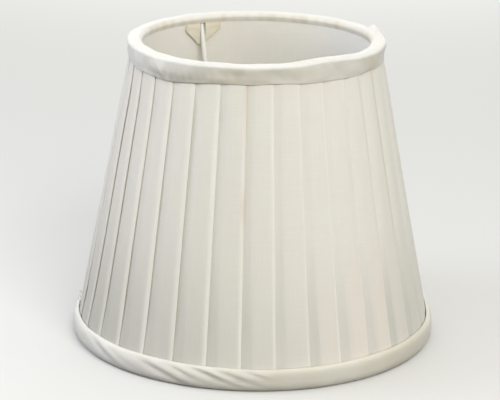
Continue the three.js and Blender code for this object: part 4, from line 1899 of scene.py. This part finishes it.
    def _loop(self, name: str, side: float) -> Surface:
        """One sprung loop: a hairpin of wire from the saddle's roll down round the bulb.

        A smooth line goes through the ends in the roll, the shoulders, belly, waist and round end.

        Args:
            name: Left or right.
            side: 1 for the +Y side, -1 for the other.

        Returns:
            The wire's surface.
        """
        roll_end = self.saddle_length / 2.0
        leg = roll_end + self.loop_shoulder
        foot_reach = (self.waist_reach + self.end_reach) / 2.0
        foot_drop = (self.waist_drop + self.end_drop) / 2.0
        half = np.array([
            (self.loop_end_gap / 2.0, self.hinge_y, self.flange_drop),
            (roll_end - self.loop_wire, self.hinge_y, self.flange_drop),
            (roll_end, self.hinge_y, self.flange_drop),
            (leg, self.hinge_y + self.loop_shoulder / 2.0, self.flange_drop + self.loop_shoulder),
            (leg, (self.hinge_y + self.belly_reach) / 2.0, (self.flange_drop + self.belly_drop) / 2.0),
            (leg, self.belly_reach, self.belly_drop),
            (leg, self.waist_reach, self.waist_drop),
            (leg * math.sqrt(0.5), foot_reach, foot_drop),
        ])
        end = np.array([[0.0, self.end_reach, self.end_drop]])
        mirrored = half[::-1] * np.array([-1.0, 1.0, 1.0])
        knots = np.concatenate([half, end, mirrored]) * np.array([1.0, side, -1.0])
        surface = tube(f"clip_loop_{name}_wire", spline(knots, 8), np.array([0.0, 1.0, 0.0]), self.loop_wire,
                       14, self.loop_end_round)
        surface.points = self._place(surface.points)
        return surface


@dataclass(frozen=True)
class AreaLight:
    """A square soft light that looks at a point of the shade."""

    name: str
    place: Point
    size: float
    power: float
    colour: Colour
    target: Point = (0.0, 0.0, 0.065)

    def build(self) -> None:
        """Adds the light, turned to its target."""
        lamp = bpy.data.lights.new(self.name, "AREA")
        lamp.shape = "SQUARE"
        lamp.size = self.size
        lamp.energy = self.power
        lamp.color = self.colour
        light = bpy.data.objects.new(self.name, lamp)
        light.location = self.place
        direction = Vector(self.target) - Vector(self.place)
        light.rotation_euler = direction.to_track_quat("-Z", "Y").to_euler()
        bpy.context.scene.collection.objects.link(light)


@dataclass
class Studio:
    """A pale floor, soft lights and the camera."""

    eye: Point = (-1.75, -839.3, 312.3)
    pitch: float = 16.984
    roll: float = 0.78
    lens: float = 150.7
    sensor: float = 36.0
    floor_size: float = 6.0
    floor_colour: Colour = (0.7, 0.7, 0.69)
    floor_bounce: Colour = (0.06, 0.06, 0.06)
    backdrop: Colour = (0.78, 0.78, 0.77)
    ambient: Colour = (0.78, 0.78, 0.77)
    lights: tuple[AreaLight, ...] = (
        AreaLight("front_key", (0.34, -0.83, 0.7), 0.6, 6.7, (1.0, 0.985, 0.91)),
        AreaLight("left_near", (-0.385, 0.0, 0.27), 0.24, 0.66, (0.87, 0.9, 1.0)),
        AreaLight("right_low", (1.0, -0.27, 0.44), 0.5, 0.4, (1.0, 0.94, 0.82)),
        AreaLight("back_low", (0.0, 1.07, 0.17), 0.6, 3.0, (1.0, 1.0, 0.98)),
    )

    def build(self) -> None:
        """Builds the floor, the world, the lights and the camera."""
        bpy.context.scene.view_settings.view_transform = "Standard"
        self._floor()
        self._world()
        for light in self.lights:
            light.build()
        self._camera()

    @staticmethod
    def _shown(tree: bpy.types.NodeTree) -> bpy.types.NodeSocket:
        """1 for rays that show a surface directly, mirrored or through glass, and 0 for bounced light.

        Args:
            tree: The node tree that asks.

        Returns:
            The output that gives the number.
        """
        rays = tree.nodes.new("ShaderNodeLightPath")
        total = rays.outputs["Is Camera Ray"]
        for name in ("Is Glossy Ray", "Is Transmission Ray"):
            larger = tree.nodes.new("ShaderNodeMath")
            larger.operation = "MAXIMUM"
            tree.links.new(total, larger.inputs[0])
            tree.links.new(rays.outputs[name], larger.inputs[1])
            total = larger.outputs[0]
        return total

    def _floor(self) -> None:
        """A flat sheet at the foot of the shade that looks pale and bounces little light."""
        half = self.floor_size / 2.0
        mesh = bpy.data.meshes.new("studio_floor")
        mesh.from_pydata([(-half, -half, 0.0), (half, -half, 0.0), (half, half, 0.0), (-half, half, 0.0)], [],
                         [(0, 1, 2, 3)])
        floor = bpy.data.objects.new("studio_floor", mesh)
        bpy.context.scene.collection.objects.link(floor)
        material = bpy.data.materials.new("pale_floor")
        material.use_nodes = True
        tree = material.node_tree
        tree.nodes.remove(tree.nodes["Principled BSDF"])
        shades = []
        for colour in (self.floor_bounce, self.floor_colour):
            shade = tree.nodes.new("ShaderNodeBsdfDiffuse")
            shade.inputs["Color"].default_value = (*colour, 1.0)
            shades.append(shade)
        mix = tree.nodes.new("ShaderNodeMixShader")
        tree.links.new(self._shown(tree), mix.inputs[0])
        tree.links.new(shades[0].outputs[0], mix.inputs[1])
        tree.links.new(shades[1].outputs[0], mix.inputs[2])
        tree.links.new(mix.outputs[0], tree.nodes["Material Output"].inputs["Surface"])
        mesh.materials.append(material)

    def _world(self) -> None:
        """An even light all round, like a pale sky, and a backdrop for the rays that show it."""
        world = bpy.data.worlds.new("studio_world")
        bpy.context.scene.world = world
        world.use_nodes = True
        tree = world.node_tree
        tree.nodes.clear()
        mix = tree.nodes.new("ShaderNodeMixShader")
        tree.links.new(self._shown(tree), mix.inputs[0])
        for socket, colour in ((1, self.ambient), (2, self.backdrop)):
            background = tree.nodes.new("ShaderNodeBackground")
            background.inputs["Color"].default_value = (*colour, 1.0)
            tree.links.new(background.outputs[0], mix.inputs[socket])
        output = tree.nodes.new("ShaderNodeOutputWorld")
        tree.links.new(mix.outputs[0], output.inputs["Surface"])

    def _camera(self) -> None:
        """The camera: looks along +Y, tipped down by the pitch and turned about its view by the roll."""
        data = bpy.data.cameras.new("camera")
        data.lens = self.lens
        data.sensor_width = self.sensor
        data.sensor_fit = "HORIZONTAL"
        camera = bpy.data.objects.new("camera", data)
        tip = Matrix.Rotation(math.radians(90.0 - self.pitch), 4, "X")
        turn = Matrix.Rotation(math.radians(self.roll), 4, "Z")
        camera.matrix_world = Matrix.Translation(Vector(self.eye) * MM) @ tip @ turn
        bpy.context.scene.collection.objects.link(camera)
        bpy.context.scene.camera = camera


def main() -> None:
    """Builds every piece in order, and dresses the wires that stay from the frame."""
    logging.basicConfig(level=logging.INFO, format="%(name)s: %(message)s")
    wall = Wall.from_frame()
    Studio().build()

    # The cover's pale colour is its painted highlight on the fold edges, and its grey is mostly painted
    # shade.
    pleat_cloth = ClothFinish("pleat_satin", (0.8, 0.78, 0.7), (0.8, 0.757, 0.69))
    # The lining's pale colour is painted light at the back right.
    lining_cloth = ClothFinish("matt_lining", (0.88, 0.855, 0.79), (0.86, 0.82, 0.74),
                               pale=(0.95, 0.95, 0.945), roughness=0.8, sheen=0.1)
    # The strip's grey is painted shade on the top strip's face and greying elsewhere.
    trim_cloth = ClothFinish("bias_strip", (0.8, 0.79, 0.745), (0.78, 0.765, 0.71), stain=(0.6, 0.525, 0.37),
                             thread_turn=45.0)
    gusset_cloth = ClothFinish("yellowed_lining", (0.81, 0.77, 0.65), (0.78, 0.73, 0.585), roughness=0.8)

    PleatedCover(wall).build(pleat_cloth)
    Lining(wall).build(lining_cloth)
    TopTrim(wall, height=7.8, fullest=1.5, lip_depth=3.6, lip_inset=0.3, lip_inset_at_arms=0.56,
            lip_end_inset=0.25, lip_end_inset_at_arms=0.6, shoulder=3.0).build(trim_cloth)
    bottom = BottomTrim(wall, height=9.2, fullest=3.9, lip_depth=6.0, flat_out=1.6, flat_in=0.6,
                        shoulder=2.2).build(trim_cloth)
    Fray(wall).build(bottom.data.materials[0])
    gusset_material = gusset_cloth.material()
    Gusset(wall, "gusset_rear", wall.arm_azimuth).build(gusset_material)
    Gusset(wall, "gusset_front", wall.arm_azimuth + 180.0).build(gusset_material)

    coated_wire = CoatedWireFinish().material()
    Fitting(wall).build(coated_wire, PlatedSteelFinish("zinc_sheet").material(),
                        PlatedSteelFinish("zinc_spring_wire", roughness=0.26).material())
    for name, node in frame["nodes"].items():
        if name.endswith("_ring") or name.startswith("strut_"):
            node.data.materials.clear()
            node.data.materials.append(coated_wire)
            log.info("%s keeps its solid and takes the wire's coat", name)


if __name__ == "__main__":
    main()
